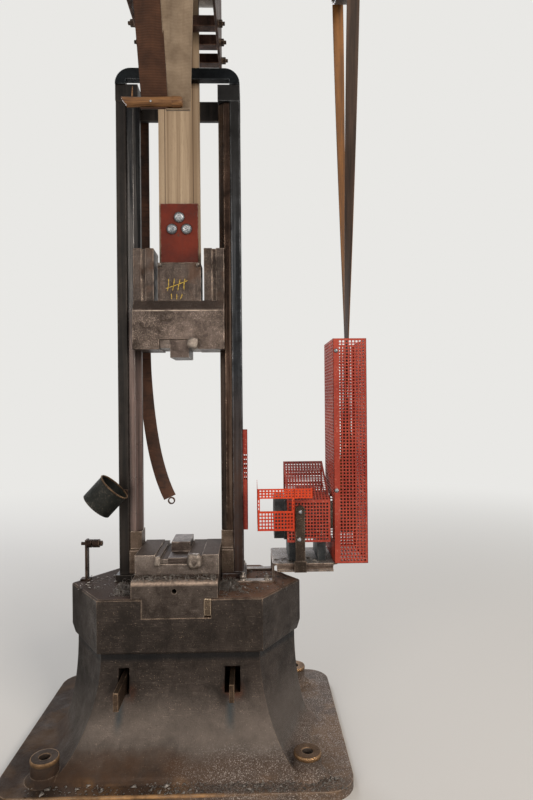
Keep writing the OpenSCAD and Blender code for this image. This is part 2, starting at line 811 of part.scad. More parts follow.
// Perforated strip on the outside of the right column
module column_guard() {
    x = line_x + cols_w / 2;
    y = line_y - 2 - strip_w / 2;
    color(guard_red) translate([0, 0, strip_z]) linear_extrude(strip_l) difference() {
        translate([x, y]) square([strip_out, strip_w]);
        translate([x - 1, y + sheet_t]) square([strip_out + 1 - sheet_t, strip_w - 2 * sheet_t]);
    }
}

// Can hung on the left column with its mouth up and to the right
can_tilt = 43;
can_x = line_x - cols_w / 2 - 44;
can_y = line_y - col_d / 2 - 84;
can_z = 1150;
module lubricant_can() {
    color(iron) translate([can_x, can_y, can_z]) rotate([0, can_tilt, 0])
        translate([0, 0, -can_l / 2]) difference() {
            cylinder(h = can_l, d = can_d);
            translate([0, 0, 4]) cylinder(h = can_l, d = can_d - 6);
        }
}

// Flat bar from the front of the left column to the back of the can
module can_bracket() {
    x = line_x - cols_w / 2;
    color(worn_iron) {
        block([can_x - 10, can_y + can_d / 2 + seat_gap, can_z - 20],
              [x + 45, line_y - col_d / 2, can_z + 20]);
    }
}

// Stand with a short cross roller, on the left of the head
module tong_rest() {
    x = -head_w / 2 + 56;
    y = line_y - 33;
    z = head_top + 178;
    color(worn_iron) {
        block([x - 24, y - 20, head_top], [x + 22, y + 20, head_top + 9]);
        block([x, y - 20, head_top], [x + 10, y + 20, z + 20]);
        bar_x(x - 22, x + 82, y, z, 8);
        bar_x(x + 9, x + 30, y, z, 20);
        bar_x(x + 35, x + 67, y, z, 20);
        bar_x(x + 70, x + 80, y, z, 13);
    }
}

// Points on a circle from angle a0 to a1, its centre at distance d along the belt's line
function arc(r, a0, a1, d, n) =
    [for (k = [0:n]) let (a = a0 + (a1 - a0) * k / n) [r * cos(a), d + r * sin(a)]];

// Crossed flat belt as one loop in the plane of the pulleys
module drive_belt() {
    ro = pulley_r + seat_gap;
    ri = motor_pulley_r + seat_gap;
    h = roll_z - motor_z;
    v = drive_y - motor_y;
    dist = sqrt(h * h + v * v);
    lean = atan2(-v, h);
    swing = asin((ro + ri + belt_t) / dist);
    cross = belt_t / 2 / cos(swing);
    cross_z = (ri + belt_t / 2) / sin(swing);
    color(leather) translate([belt_x - belt_w / 2, motor_y, motor_z]) rotate([90, 0, 90])
        linear_extrude(belt_w) rotate([0, 0, lean]) difference() {
            polygon(concat(arc(ro + belt_t, -swing, 180 + swing, dist, 40), [[-cross, cross_z]],
                arc(ri + belt_t, 180 - swing, 360 + swing, 0, 28), [[cross, cross_z]]));
            polygon(concat(arc(ro, -swing, 180 + swing, dist, 40), [[0, (ri + belt_t) / sin(swing)]]));
            polygon(concat(arc(ri, 180 - swing, 360 + swing, 0, 28), [[0, ri / sin(swing)]]));
        }
}

// Bar in front of the roll box, from which the doubled belt hangs
hang_z = box_z + hang_up;
hang_r = 20;
module belt_hanger() {
    color(iron) {
        bar_x(line_x - cheek_in - cheek_t, line_x + cheek_in + cheek_t, -hang_y, hang_z, hang_r);
        for (x = [line_x - cheek_in - cheek_t, line_x + cheek_in])
            block([x, -hang_y, hang_z - 30], [x + cheek_t, box_front, hang_z + 30]);
    }
}

// One hanging belt: a slab between a top and a bottom edge
module hung_belt(x0, x1, b0, b1, y) {
    top = hang_z - hang_r - seat_gap;
    bottom = stick_z + stick_r + seat_gap;
    translate([0, y + belt_t, 0]) rotate([90, 0, 0]) linear_extrude(belt_t)
        polygon([[b0, bottom], [b1, bottom], [x1, top], [x0, top]]);
}
brown_x = line_x - 156;
pale_x = line_x - 35;
module brown_belt() {
    low = brown_x + 40;
    color(leather) hung_belt(brown_x, brown_x + brown_w, low, low + brown_low_w, -hang_y + seat_gap);
}
module pale_belt() {
    low = pale_x + 27;
    color(beech) hung_belt(pale_x, pale_x + pale_w, low, low + pale_low_w, -hang_y - belt_t);
}
module belt_stick() {
    x = line_x - 205;
    color(beech) bar_x(x, x + stick_l, -hang_y, stick_z, stick_r);
}

// Leather pull strap behind the ram: points are the middle line, top to bottom
strap_w = 66;
strap_t = 5;
strap_y = ram_back + 12;
strap_x = -229;
peg_z = 3070;
strap_route = [[-229, 2900], [-229, 2600], [-229, 2200], [-229, 1850], [-222, 1680], [-205, 1500],
    [-180, 1340], [-150, 1220], [-122, 1140], [-104, 1100]];
module pull_strap() {
    route = concat([[strap_x, peg_z - peg_r - seat_gap]], strap_route);
    n = len(route);
    pts = [for (i = [0:n - 1]) for (c = [[-1, 0], [1, 0], [1, 1], [-1, 1]])
        [route[i][0] + c[0] * strap_w / 2, strap_y + c[1] * strap_t, route[i][1]]];
    sides = [for (i = [0:n - 2], j = [0:3]) [i * 4 + j, i * 4 + (j + 1) % 4,
        i * 4 + 4 + (j + 1) % 4, i * 4 + 4 + j]];
    low_end = [for (j = [0:3]) n * 4 - 4 + j];
    color(leather) polyhedron(pts, concat([[3, 2, 1, 0]], sides, [low_end]));
}

// Falling weight: a block, two guided legs and a web that holds the board
module ram() {
    groove = nose_x - guide_gap;
    flank = (guide_d - nose_d) / 2 / (ram_w / 2 + 2 - nose_x);
    mouth = flank * (ram_w / 2 - nose_x) + nose_d / 2 + 2 * guide_gap;
    color(worn_iron) difference() {
        union() {
            block([line_x - ram_w / 2, ram_front, ram_z], [line_x + ram_w / 2, ram_front + ram_d, block_top]);
            for (s = [-1, 1])
                block([line_x + s * (ram_w - leg_w) / 2 - leg_w / 2, line_y - leg_d / 2, block_top - 1],
                      [line_x + s * (ram_w - leg_w) / 2 + leg_w / 2, line_y + leg_d / 2, leg_top]);
            block([line_x - web_w / 2, line_y - web_d / 2, block_top - 1],
                  [line_x + web_w / 2, line_y + web_d / 2, web_top]);
            translate([line_x - ram_w / 2, line_y, block_top]) rotate([90, 0, 90]) linear_extrude(ram_w)
                polygon([[-ram_d / 2, -1], [ram_d / 2, -1], [ram_d / 2, 0], [leg_d / 2, shoulder],
                    [-leg_d / 2, shoulder], [-ram_d / 2, 0]]);
        }
        for (s = [-1, 1]) translate([line_x, line_y, ram_z - 1]) linear_extrude(leg_top - ram_z + 2)
            polygon([[s * groove, nose_d / 2 + guide_gap / 2], [s * (ram_w / 2 + 1), mouth + 1],
                [s * (ram_w / 2 + 1), -mouth - 1], [s * groove, -nose_d / 2 - guide_gap / 2]]);
        for (s = [-1, 1])
            translate([line_x + s * (ram_w - leg_w) / 2, line_y - leg_d / 2, block_top + shoulder])
                block([-groove_w / 2, -1, 0], [groove_w / 2, 14, leg_h]);
        block([line_x - ram_slot_w / 2, ram_front - 1, ram_z - 1],
              [line_x + ram_slot_w / 2, ram_front + ram_d + 1, ram_z + ram_slot_h]);
        block([line_x - board_w / 2, board_front, board_z], [line_x + board_w / 2, board_back, web_top + 1]);
    }
}

module upper_die() {
    color(steel) block([die_x - die_w / 2, line_y - ram_d / 2 + 6, upper_die_z],
        [die_x + die_w / 2, line_y + ram_d / 2 - 6, ram_z + ram_slot_h]);
}

module upper_die_wedge() {
    color(worn_iron) {
        wedge(die_x + die_w / 2, line_x + ram_slot_w / 2, ram_front - 12, ram_front + ram_d + 10,
            ram_z + 4, ram_z + ram_slot_h, 26);
        block([line_x - ram_slot_w / 2, ram_front + 8, ram_z + 6],
              [die_x - die_w / 2, ram_front + ram_d - 8, ram_z + ram_slot_h]);
    }
}

// Low domed bolt head of radius r and height h, turned about Z
module bolt_dome(r, h) {
    ball = (r * r + h * h) / 2 / h;
    rotate_extrude() intersection() {
        translate([0, h - ball]) circle(ball);
        square([r, h]);
    }
}

// Two plates that pinch the foot of the board, drawn together by three bolts
clamp_z = web_top + 6;
clamp_bolts = [[0, 222], [-36, 164], [36, 164]];
module board_clamp() {
    color(clamp_red) {
        for (y = [board_front - clamp_t, board_back])
            block([line_x - clamp_w / 2, y, clamp_z], [line_x + clamp_w / 2, y + clamp_t, clamp_z + clamp_h]);
        for (b = clamp_bolts) translate([line_x + b[0], 0, clamp_z + b[1]]) {
            front = board_front - clamp_t;
            translate([0, front + 1, 0]) rotate([90, 0, 0]) bolt_dome(clamp_bolt_d * 0.8, 13);
            bar_y(board_front - 1, board_back + 1, 0, 0, clamp_bolt_d / 2);
            translate([0, board_back + clamp_t + 11, 0]) rotate([90, 0, 0])
                cylinder(h = 12, d = clamp_bolt_d * 1.5, $fn = 6);
        }
    }
}

module lifting_board() {
    color(beech) difference() {
        block([line_x - board_w / 2, board_front, board_z],
              [line_x + board_w / 2, board_back, board_z + board_l]);
        for (b = clamp_bolts)
            bar_y(board_front - 1, board_back + 1, line_x + b[0], clamp_z + b[1], clamp_bolt_d / 2);
    }
}

base_casting();
sow_block();
sow_key();
die_holder();
lower_die();
lower_die_wedge();
lower_die_packing();
cotters();
left_column();
right_column();
left_guide();
right_guide();
guide_feet();
arch_tie();
cross_tie();
head_posts();
box_cheeks();
box_rails();
outboard_arm();
motor_shelf();
shelf_brackets();
motor_housing();
motor_guard();
fan_guard();
belt_guard();
guard_strap();
column_guard();
lubricant_can();
can_bracket();
tong_rest();
drive_belt();
belt_hanger();
brown_belt();
pale_belt();
belt_stick();
pull_strap();
ram();
upper_die();
upper_die_wedge();
board_clamp();
lifting_board();
drive_roll();
drive_pulley();
rear_roll();
motor_pulley();
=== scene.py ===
"""Looks of a board drop hammer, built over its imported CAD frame. Metres, +Z up, in the frame's axes."""
import math

import bmesh
import bpy
import numpy as np
from mathutils import Matrix, Vector


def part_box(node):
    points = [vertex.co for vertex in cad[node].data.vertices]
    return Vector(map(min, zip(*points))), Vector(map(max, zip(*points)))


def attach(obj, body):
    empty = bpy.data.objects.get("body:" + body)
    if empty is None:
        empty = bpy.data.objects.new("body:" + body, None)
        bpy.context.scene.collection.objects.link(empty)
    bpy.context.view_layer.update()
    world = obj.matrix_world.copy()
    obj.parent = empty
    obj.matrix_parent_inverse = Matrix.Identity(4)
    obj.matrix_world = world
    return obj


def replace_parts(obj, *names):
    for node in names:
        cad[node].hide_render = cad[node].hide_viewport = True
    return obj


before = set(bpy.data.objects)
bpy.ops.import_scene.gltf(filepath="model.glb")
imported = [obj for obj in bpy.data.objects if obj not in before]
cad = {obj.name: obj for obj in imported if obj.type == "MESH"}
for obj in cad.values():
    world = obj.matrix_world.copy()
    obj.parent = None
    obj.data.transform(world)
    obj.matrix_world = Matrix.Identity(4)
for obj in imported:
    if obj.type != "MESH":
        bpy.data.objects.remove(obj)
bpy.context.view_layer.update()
scene = bpy.context.scene
scene.view_settings.view_transform = "Standard"


# Camera. It stands at eye height in front of the gap between the columns and the motor, level,
# turned a little to the right, with the slight roll of a hand-held picture.
eye_at = (0.331, -2.84, 1.6)
right_turn, roll = math.radians(1.3265), math.radians(0.5)
camera_data = bpy.data.cameras.new("camera")
camera_data.lens = 26.235
camera_data.sensor_width = 36
camera_data.clip_end = 200
camera = bpy.data.objects.new("camera", camera_data)
scene.collection.objects.link(camera)
camera.matrix_world = (
    Matrix.Translation(eye_at)
    @ Matrix.Rotation(-right_turn, 4, "Z")
    @ Matrix.Rotation(math.pi / 2, 4, "X")
    @ Matrix.Rotation(-roll, 4, "Z")
)
scene.camera = camera


# Floor and light. A plain pale floor runs to the horizon and melts into the background far away,
# and large soft lamps from the right and left front and from behind leave gentle shadows.
def colour(code):
    """Linear red, green, blue and alpha of a six-digit sRGB code."""
    c = np.array([int(code[i:i + 2], 16) for i in (0, 2, 4)]) / 255
    linear = np.where(c < 0.04045, c / 12.92, ((c + 0.055) / 1.055) ** 2.4)
    return (*(round(float(v), 4) for v in linear), 1.0)


def node(tree, kind, inputs=None, **settings):
    """Adds a shader node and gives its outputs: settings are its properties, inputs its sockets'
    sources or values. A six-digit code stands for a colour."""
    made = tree.nodes.new("ShaderNode" + kind)
    for key, value in settings.items():
        setattr(made, key, value)
    for key, value in (inputs or {}).items():
        if isinstance(value, bpy.types.NodeSocket):
            tree.links.new(value, made.inputs[key])
        else:
            made.inputs[key].default_value = colour(value) if isinstance(value, str) else value
    return made.outputs


def sums(tree, operation, first, *others):
    """Joins numbers and sources from left to right by one operation, such as MAXIMUM."""
    for other in others:
        first = node(tree, "Math", {0: first, 1: other}, operation=operation)[0]
    return first


def times(tree, *numbers):
    """Multiplies numbers and sources."""
    return sums(tree, "MULTIPLY", *numbers)


def new_material(name, **sockets):
    """A material, its tree and its shader, with the shader's constant sockets set."""
    material = bpy.data.materials.new(name)
    material.use_nodes = True
    shader = material.node_tree.nodes["Principled BSDF"]
    for key, value in sockets.items():
        shader.inputs[key.replace("_", " ").title().replace("Ior", "IOR")].default_value = value
    return material, material.node_tree, shader


def seen_ray(tree):
    """1 for a ray that shows the background itself: from the camera, let through or mirrored."""
    ray = node(tree, "LightPath")
    return sums(tree, "MAXIMUM", *(ray[f"Is {kind} Ray"] for kind in ("Camera", "Transmission", "Glossy")))


backdrop = "E9E8E5"
world = bpy.data.worlds.new("studio")
scene.world = world
world.use_nodes = True
sky = world.node_tree
sky.nodes.clear()
soft_sky = node(sky, "Background", {"Color": "F2F1EE", "Strength": 0.42})[0]
back_sky = node(sky, "Background", {"Color": backdrop, "Strength": 1.0})[0]
both = node(sky, "MixShader", {0: seen_ray(sky), 1: soft_sky, 2: back_sky})[0]
sky.links.new(both, sky.nodes.new("ShaderNodeOutputWorld").inputs[0])

floor_half, fade_from, fade_to = 60, 2.2, 9.0
floor_mesh = bpy.data.meshes.new("floor")
floor_mesh.from_pydata([(x * floor_half, y * floor_half, 0) for x, y in ((-1, -1), (1, -1), (1, 1), (-1, 1))],
                       [], [(0, 1, 2, 3)])
floor = bpy.data.objects.new("floor", floor_mesh)
scene.collection.objects.link(floor)
floor_paint, tree, shader = new_material("floor_paint", base_color=colour("D9D7D3"), roughness=0.8,
                                         specular_ior_level=0.2)
away = node(tree, "VectorMath", {0: node(tree, "TexCoord")["Object"]}, operation="LENGTH")["Value"]
fade = node(tree, "MapRange", {"Value": away, "From Min": fade_from, "From Max": fade_to},
            interpolation_type="SMOOTHSTEP")[0]
glow = node(tree, "Emission", {"Color": backdrop, "Strength": 1.0})[0]
look = node(tree, "MixShader", {0: times(tree, seen_ray(tree), fade), 1: shader.outputs[0], 2: glow})[0]
tree.links.new(look, tree.nodes["Material Output"].inputs[0])
floor_mesh.materials.append(floor_paint)


def lamp(name, place, size, power, tint, target=(0, 0, 2.0)):
    """A square soft lamp at place that points at target, which lies in the ram."""
    data = bpy.data.lights.new(name, "AREA")
    data.size, data.energy, data.color = size, power, colour(tint)[:3]
    made = bpy.data.objects.new(name, data)
    scene.collection.objects.link(made)
    made.location = place
    made.rotation_euler = (Vector(target) - Vector(place)).to_track_quat("-Z", "Y").to_euler()


lamp("key", (6.5, -8.5, 6.0), 4.0, 760, "FFF4E8")
lamp("fill", (-5.5, -9.0, 3.5), 4.0, 300, "FFF1E4")
lamp("rim", (-3.0, 8.0, 7.0), 3.5, 430, "F3F6FF")


# Pull strap. A long strap of thick belt leather hangs from a peg behind the columns to well below
# the ram, and has kept the bend of use. Its end is turned round an eye.
def plus(tree, *numbers):
    """Adds numbers and sources."""
    return sums(tree, "ADD", *numbers)


def own_place(tree):
    """The piece's own coordinates, in metres, on which its pattern stays."""
    return node(tree, "TexCoord")["Object"]


def stretched(tree, scale, turn=(0, 0, 0)):
    """The piece's own coordinates times scale, so that a noise on them is drawn out."""
    return node(tree, "Mapping", {"Vector": own_place(tree), "Rotation": turn, "Scale": scale})[0]


def noise(tree, place, scale, detail, rough, warp=0.0):
    """Fractal noise, 0 to 1, with scale waves to the metre."""
    return node(tree, "TexNoise", {"Vector": place, "Scale": scale, "Detail": detail,
                                   "Roughness": rough, "Distortion": warp})[0]


def ramp(tree, factor, low, high, a=0.0, b=1.0):
    """Maps factor from low..high to a..b, and holds it there outside."""
    return node(tree, "MapRange", {"Value": factor, "From Min": low, "From Max": high,
                                   "To Min": a, "To Max": b})[0]


def blotches(tree, place, scale, detail, rough, low, high, a=0.0, b=1.0):
    """Soft patches: a noise, ramped from low..high to a..b."""
    return ramp(tree, noise(tree, place, scale, detail, rough), low, high, a, b)


def mix(tree, factor, a, b):
    """Colour a at factor 0 and b at factor 1."""
    return node(tree, "Mix", {0: factor, 6: a, 7: b}, data_type="RGBA")[2]


def lay(tree, shader, tone, height, strength, distance, gloss=None, normal=None):
    """Gives a shader its colour, its bump, which rises by height times distance in metres and
    shows as much as strength says, and its roughness and rounded normal if it has them."""
    tree.links.new(tone, shader.inputs["Base Color"])
    bump = {"Height": height, "Strength": strength, "Distance": distance}
    if normal:
        bump["Normal"] = normal
    tree.links.new(node(tree, "Bump", bump)[0], shader.inputs["Normal"])
    if gloss:
        tree.links.new(gloss, shader.inputs["Roughness"])


def turn_outwards(mesh, join=0.0):
    """Joins corners that lie within join of each other and turns the faces of closed shells out."""
    shell = bmesh.new()
    shell.from_mesh(mesh)
    if join:
        bmesh.ops.remove_doubles(shell, verts=shell.verts, dist=join)
    bmesh.ops.recalc_face_normals(shell, faces=shell.faces)
    shell.to_mesh(mesh)
    shell.free()


def new_piece(name, mesh, body, material):
    """Makes a mesh a piece that rides on a body and takes its finish from a slot."""
    piece = bpy.data.objects.new(name, mesh)
    scene.collection.objects.link(piece)
    mesh.materials.append(material)
    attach(piece, body)
    return piece


def mesh_piece(name, grids, body, material, smooth=40, uv=None):
    """Joins grids of points into one piece. A grid is (points[u, v, 3], close_u, close_v): four
    neighbouring points make one face, and a closed direction joins its last row to its first."""
    corners, cells, start = [], [], 0
    for points, close_u, close_v in grids:
        nu, nv = points.shape[:2]
        u = np.arange(nu if close_u else nu - 1)[:, None]
        v = np.arange(nv if close_v else nv - 1)[None, :]
        u1, v1 = (u + 1) % nu, (v + 1) % nv
        corners.append(points.reshape(-1, 3))
        cell = np.stack([u * nv + v, u1 * nv + v, u1 * nv + v1, u * nv + v1], -1)
        cells.append(cell.reshape(-1, 4) + start)
        start += nu * nv
    cells = np.concatenate(cells)
    mesh = bpy.data.meshes.new(name)
    mesh.from_pydata(np.concatenate(corners).tolist(), [], cells.tolist())
    if uv is not None:
        layer = mesh.uv_layers.new(name="run")
        layer.data.foreach_set("uv", uv.reshape(-1, 2)[cells.ravel()].ravel())
    else:
        turn_outwards(mesh, join=1e-6)
    mesh.shade_smooth()
    mesh.set_sharp_from_angle(angle=math.radians(smooth))
    return new_piece(name, mesh, body, material)


def smooth_path(points, steps):
    """A curve through all the points: between two of them a cubic whose slopes there are half
    the step from the point before to the point after."""
    p = np.array(points, float)
    p = np.vstack([2 * p[0] - p[1], p, 2 * p[-1] - p[-2]])
    t = np.linspace(0, 1, steps, endpoint=False)[None, :, None]
    a, b, c, d = (p[k:len(p) - 3 + k, None] for k in range(4))
    curve = b + 0.5 * t * (c - a + t * (2 * a - 5 * b + 4 * c - d + t * (3 * (b - c) + d - a)))
    return np.vstack([curve.reshape(-1, p.shape[1]), p[-2]])


section_points = 20


def ribbon(centre, across, width, thick):
    """A flat band along the centre line: its section is a rounded rectangle, width along across
    and thick at right angles to it and to the line. Gives the points, their UV in metres and
    the length."""
    run = np.gradient(centre, axis=0)
    run /= np.linalg.norm(run, axis=1)[:, None]
    face = np.cross(run, across)
    a = np.linspace(0, 2 * math.pi, section_points, endpoint=False)
    side = np.sign(np.cos(a)) * np.abs(np.cos(a)) ** 0.25 * width / 2
    rise = np.sign(np.sin(a)) * np.abs(np.sin(a)) ** 0.5 * thick / 2
    points = centre[:, None] + side[None, :, None] * across[:, None] + rise[None, :, None] * face[:, None]
    length = np.concatenate([[0], np.cumsum(np.linalg.norm(np.diff(centre, axis=0), axis=1))])
    uv = np.stack(np.broadcast_arrays(side[None, :], length[:, None]), -1)
    return points, uv, length[-1]


strap_leather, tree, shader = new_material("strap_leather", roughness=0.62, specular_ior_level=0.35)
place = own_place(tree)
crease = noise(tree, stretched(tree, (14, 14, 90)), 1, 3, 0.5)
tone = mix(tree, blotches(tree, place, 9, 6, 0.65, 0.35, 0.7), "2A1B14", "5C3B29")
tone = mix(tree, ramp(tree, crease, 0.52, 0.66, 0, 0.5), tone, "1A120E")
pores = noise(tree, place, 260, 2, 0.5)
lay(tree, shader, tone, plus(tree, times(tree, crease, 0.6), pores), 0.35, 0.002)

strap_y, strap_w, strap_t = 0.1955, 0.066, 0.005
strap_route = [(-0.229, 3.0577), (-0.229, 2.9), (-0.229, 2.6), (-0.229, 2.2), (-0.229, 1.85), (-0.222, 1.68),
               (-0.205, 1.5), (-0.18, 1.34), (-0.15, 1.22), (-0.122, 1.14), (-0.104, 1.1)]
strap_line = smooth_path([(x, strap_y, z) for x, z in strap_route], 8)
strap_run = np.gradient(strap_line, axis=0)
strap_side = np.stack([-strap_run[:, 2], 0 * strap_run[:, 1], strap_run[:, 0]], -1)
strap_side /= np.linalg.norm(strap_side, axis=1)[:, None]
points, uv, strap_length = ribbon(strap_line, strap_side, strap_w, strap_t)
strap = mesh_piece("pull_strap_leather", [(points, False, True)], "frame", strap_leather,
                   uv=uv)
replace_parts(strap, "pull_strap")


def turned(profile, at, axis, sides, flats=0):
    """A body turned about an axis through at: profile holds (radius, height) pairs, or triples
    whose third number is 1 where the section is a polygon with flats sides and 0 where round."""
    rows = np.array([(*p, 1.0)[:3] for p in profile], float)
    a = np.linspace(0, 2 * math.pi, sides, endpoint=False)
    corner = 1 / np.cos(a % (2 * math.pi / flats) - math.pi / flats) - 1 if flats else 0 * a
    r = rows[:, :1] * (1 + corner[None, :] * rows[:, 2:])
    w = np.array(axis, float) / np.linalg.norm(axis)
    u = np.cross(w, (0, 0, 1) if abs(w[2]) < 0.9 else (1, 0, 0))
    u /= np.linalg.norm(u)
    v = np.cross(w, u)
    points = (np.array(at, float) + (r * np.cos(a))[..., None] * u + (r * np.sin(a))[..., None] * v
              + rows[:, 1:2, None] * w)
    return points, False, True


eye_in, eye_out, eye_half, bevel = 0.0125, 0.0185, 0.0085, 0.001
eye = [(eye_in, -eye_half), (eye_out - bevel, -eye_half), (eye_out, -0.006), (eye_out, 0.006),
       (eye_out - bevel, eye_half), (eye_in, eye_half), (eye_in, -eye_half)]
strap_eye = mesh_piece("strap_eye", [turned(eye, (-0.096, strap_y, 1.083), (0, 1, 0), 36)], "frame",
                       strap_leather)


# Base casting. Plate, flared pedestal and anvil head are one iron casting, bolted down at four
# bosses. It is dark with oil and soot, rubbed bright along its edges and dusted with forge scale.
def dots(tree, place, scale, share, size):
    """1 inside uneven dots: one in each of share of the cells of a cell pattern, 0 elsewhere."""
    cells = node(tree, "TexVoronoi", {"Vector": place, "Scale": scale})
    near = ramp(tree, cells["Distance"], size, size * 0.5)
    chosen = ramp(tree, node(tree, "SeparateColor", {0: cells["Color"]})["Red"], 1 - share, 1 - share * 0.5)
    return times(tree, near, chosen)


def off(tree, value, middle):
    """How far value lies from middle."""
    return node(tree, "Math", {0: plus(tree, value, -middle)}, operation="ABSOLUTE")[0]


def scratches(tree):
    """1 on thin lines: where a noise drawn out along one of three ways passes its middle value."""
    ways = (0, 0.12, 0), (0.4, 0.9, 0.5), (0.9, -0.3, 0.2)
    drawn = (noise(tree, stretched(tree, (3, 50, 50), turn), 1, 2, 0.5) for turn in ways)
    return sums(tree, "MAXIMUM", *(ramp(tree, off(tree, line, 0.5), 0.005, 0.0) for line in drawn))


def rounded(tree, radius, sharp):
    """The normal rounded over edges, and how far it leaves the flat one: 1 at a cosine of sharp."""
    smooth = node(tree, "Bevel", {"Radius": radius}, samples=6)[0]
    flat = node(tree, "NewGeometry")["Normal"]
    turn = node(tree, "VectorMath", {0: smooth, 1: flat}, operation="DOT_PRODUCT")["Value"]
    return smooth, ramp(tree, turn, 0.995, sharp)


def iron(name, deep, face, edge, grit, metal=0.8, rough=0.46, speck=0.5, wear=1.0, streak=0.0,
         coarse=1.0, sparks=0.05, extra=None):
    """Dark worn iron. Clouds at three sizes lie between deep and face, with streaks along Z if
    streak is above 0. Chips and scratches take the grit colour, pits the deep one, sparks of
    scale the edge one, and so do the edges, broken up by noise. speck, sparks, wear and streak
    say how much of each shows, and coarse how rough the skin is; wear may be a function of the
    place. extra may lay more on top, and gives the colour and how far a dull layer such as dust
    covers the metal."""
    material, tree, shader = new_material(name, metallic=metal, specular_ior_level=0.3)
    place = own_place(tree)
    broad = noise(tree, place, 2.1, 6, 0.6, 0.5)
    patch = noise(tree, place, 14, 9, 0.68, 0.3)
    grain = noise(tree, place, 210, 4, 0.7)
    cloud = plus(tree, times(tree, broad, 0.45), times(tree, patch, 0.35), times(tree, grain, 0.2))
    tone = mix(tree, ramp(tree, cloud, 0.42, 0.58), deep, face)
    if streak:
        drawn = noise(tree, stretched(tree, (46, 46, 1.1)), 1, 5, 0.62)
        tone = mix(tree, ramp(tree, drawn, 0.46, 0.66, 0, streak), tone, edge)
        tone = mix(tree, ramp(tree, drawn, 0.48, 0.32, 0, streak), tone, deep)
    chips = noise(tree, place, 90, 10, 0.88)
    tone = mix(tree, ramp(tree, chips, 0.585, 0.66, 0, speck), tone, grit)
    tone = mix(tree, times(tree, scratches(tree), ramp(tree, patch, 0.42, 0.6, 0, 0.45)), tone, grit)
    pits = dots(tree, place, 120, 0.3, 0.36)
    tone = mix(tree, times(tree, pits, 0.5), tone, deep)
    bright = dots(tree, place, 330, sparks * 2, 0.5)
    tone = mix(tree, times(tree, bright, ramp(tree, patch, 0.36, 0.6)), tone, edge)
    tone, dull = extra(tree, place, tone, patch) if extra else (tone, None)
    normal, edges = rounded(tree, 0.007, 0.86)
    rub = times(tree, edges, ramp(tree, patch, 0.38, 0.56), wear(tree, place) if callable(wear) else wear)
    tone = mix(tree, rub, tone, edge)
    gloss = plus(tree, ramp(tree, patch, 0.3, 0.7, rough + 0.14, rough - 0.1), times(tree, rub, -0.14),
                 ramp(tree, chips, 0.4, 0.62, 0.05, -0.05))
    if dull:
        gloss = plus(tree, gloss, times(tree, dull, 0.45))
        tree.links.new(ramp(tree, dull, 0, 1, metal, 0.0), shader.inputs["Metallic"])
    height = plus(tree, times(tree, patch, 1.1 * coarse), times(tree, chips, 0.75 * coarse),
                  times(tree, grain, 0.22), times(tree, pits, -0.3 * coarse))
    lay(tree, shader, tone, height, 0.55, 0.006, gloss, normal)
    return material


def band(tree, value, low, high, soft):
    """1 where value lies between low and high, 0 elsewhere, with edges soft wide."""
    return times(tree, ramp(tree, value, low - soft, low + soft), ramp(tree, value, high + soft, high - soft))


def reading(tree, vector, axis):
    """A vector's number along X, Y or Z."""
    return node(tree, "SeparateXYZ", {0: vector})[axis]


def facing_up(tree, low, high, b=1.0):
    """0 on steep faces and b on level ones: the normal's Z, ramped from low..high."""
    return ramp(tree, reading(tree, node(tree, "NewGeometry")["Normal"], "Z"), low, high, 0, b)


def dress(material, *names):
    """Finishes CAD nodes: their loose triangles are joined and shaded smooth up to 32 degrees."""
    for name in names:
        piece = cad[name]
        piece.data.materials.clear()
        piece.data.materials.append(material)
        piece.data.polygons.foreach_set("use_smooth", np.ones(len(piece.data.polygons), bool))
        piece.modifiers.new("join", "WELD").merge_threshold = 1e-5
        piece.modifiers.new("sharp", "EDGE_SPLIT").split_angle = math.radians(32)


def box_of(name):
    """The lower and the upper corner of a CAD node's box, to a hundredth of a millimetre."""
    return np.round(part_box(name), 5)


(_, plate_front, _), (_, _, head_top) = box_of("base_casting")
plate_top, waist_z = 0.04, 0.483
recess_z, recess_left, recess_right = box_of("sow_block")[0][2], -0.169, 0.137
cotter_lefts, cotter_t, slot_z = (-0.26, 0.222), 0.026, 0.312


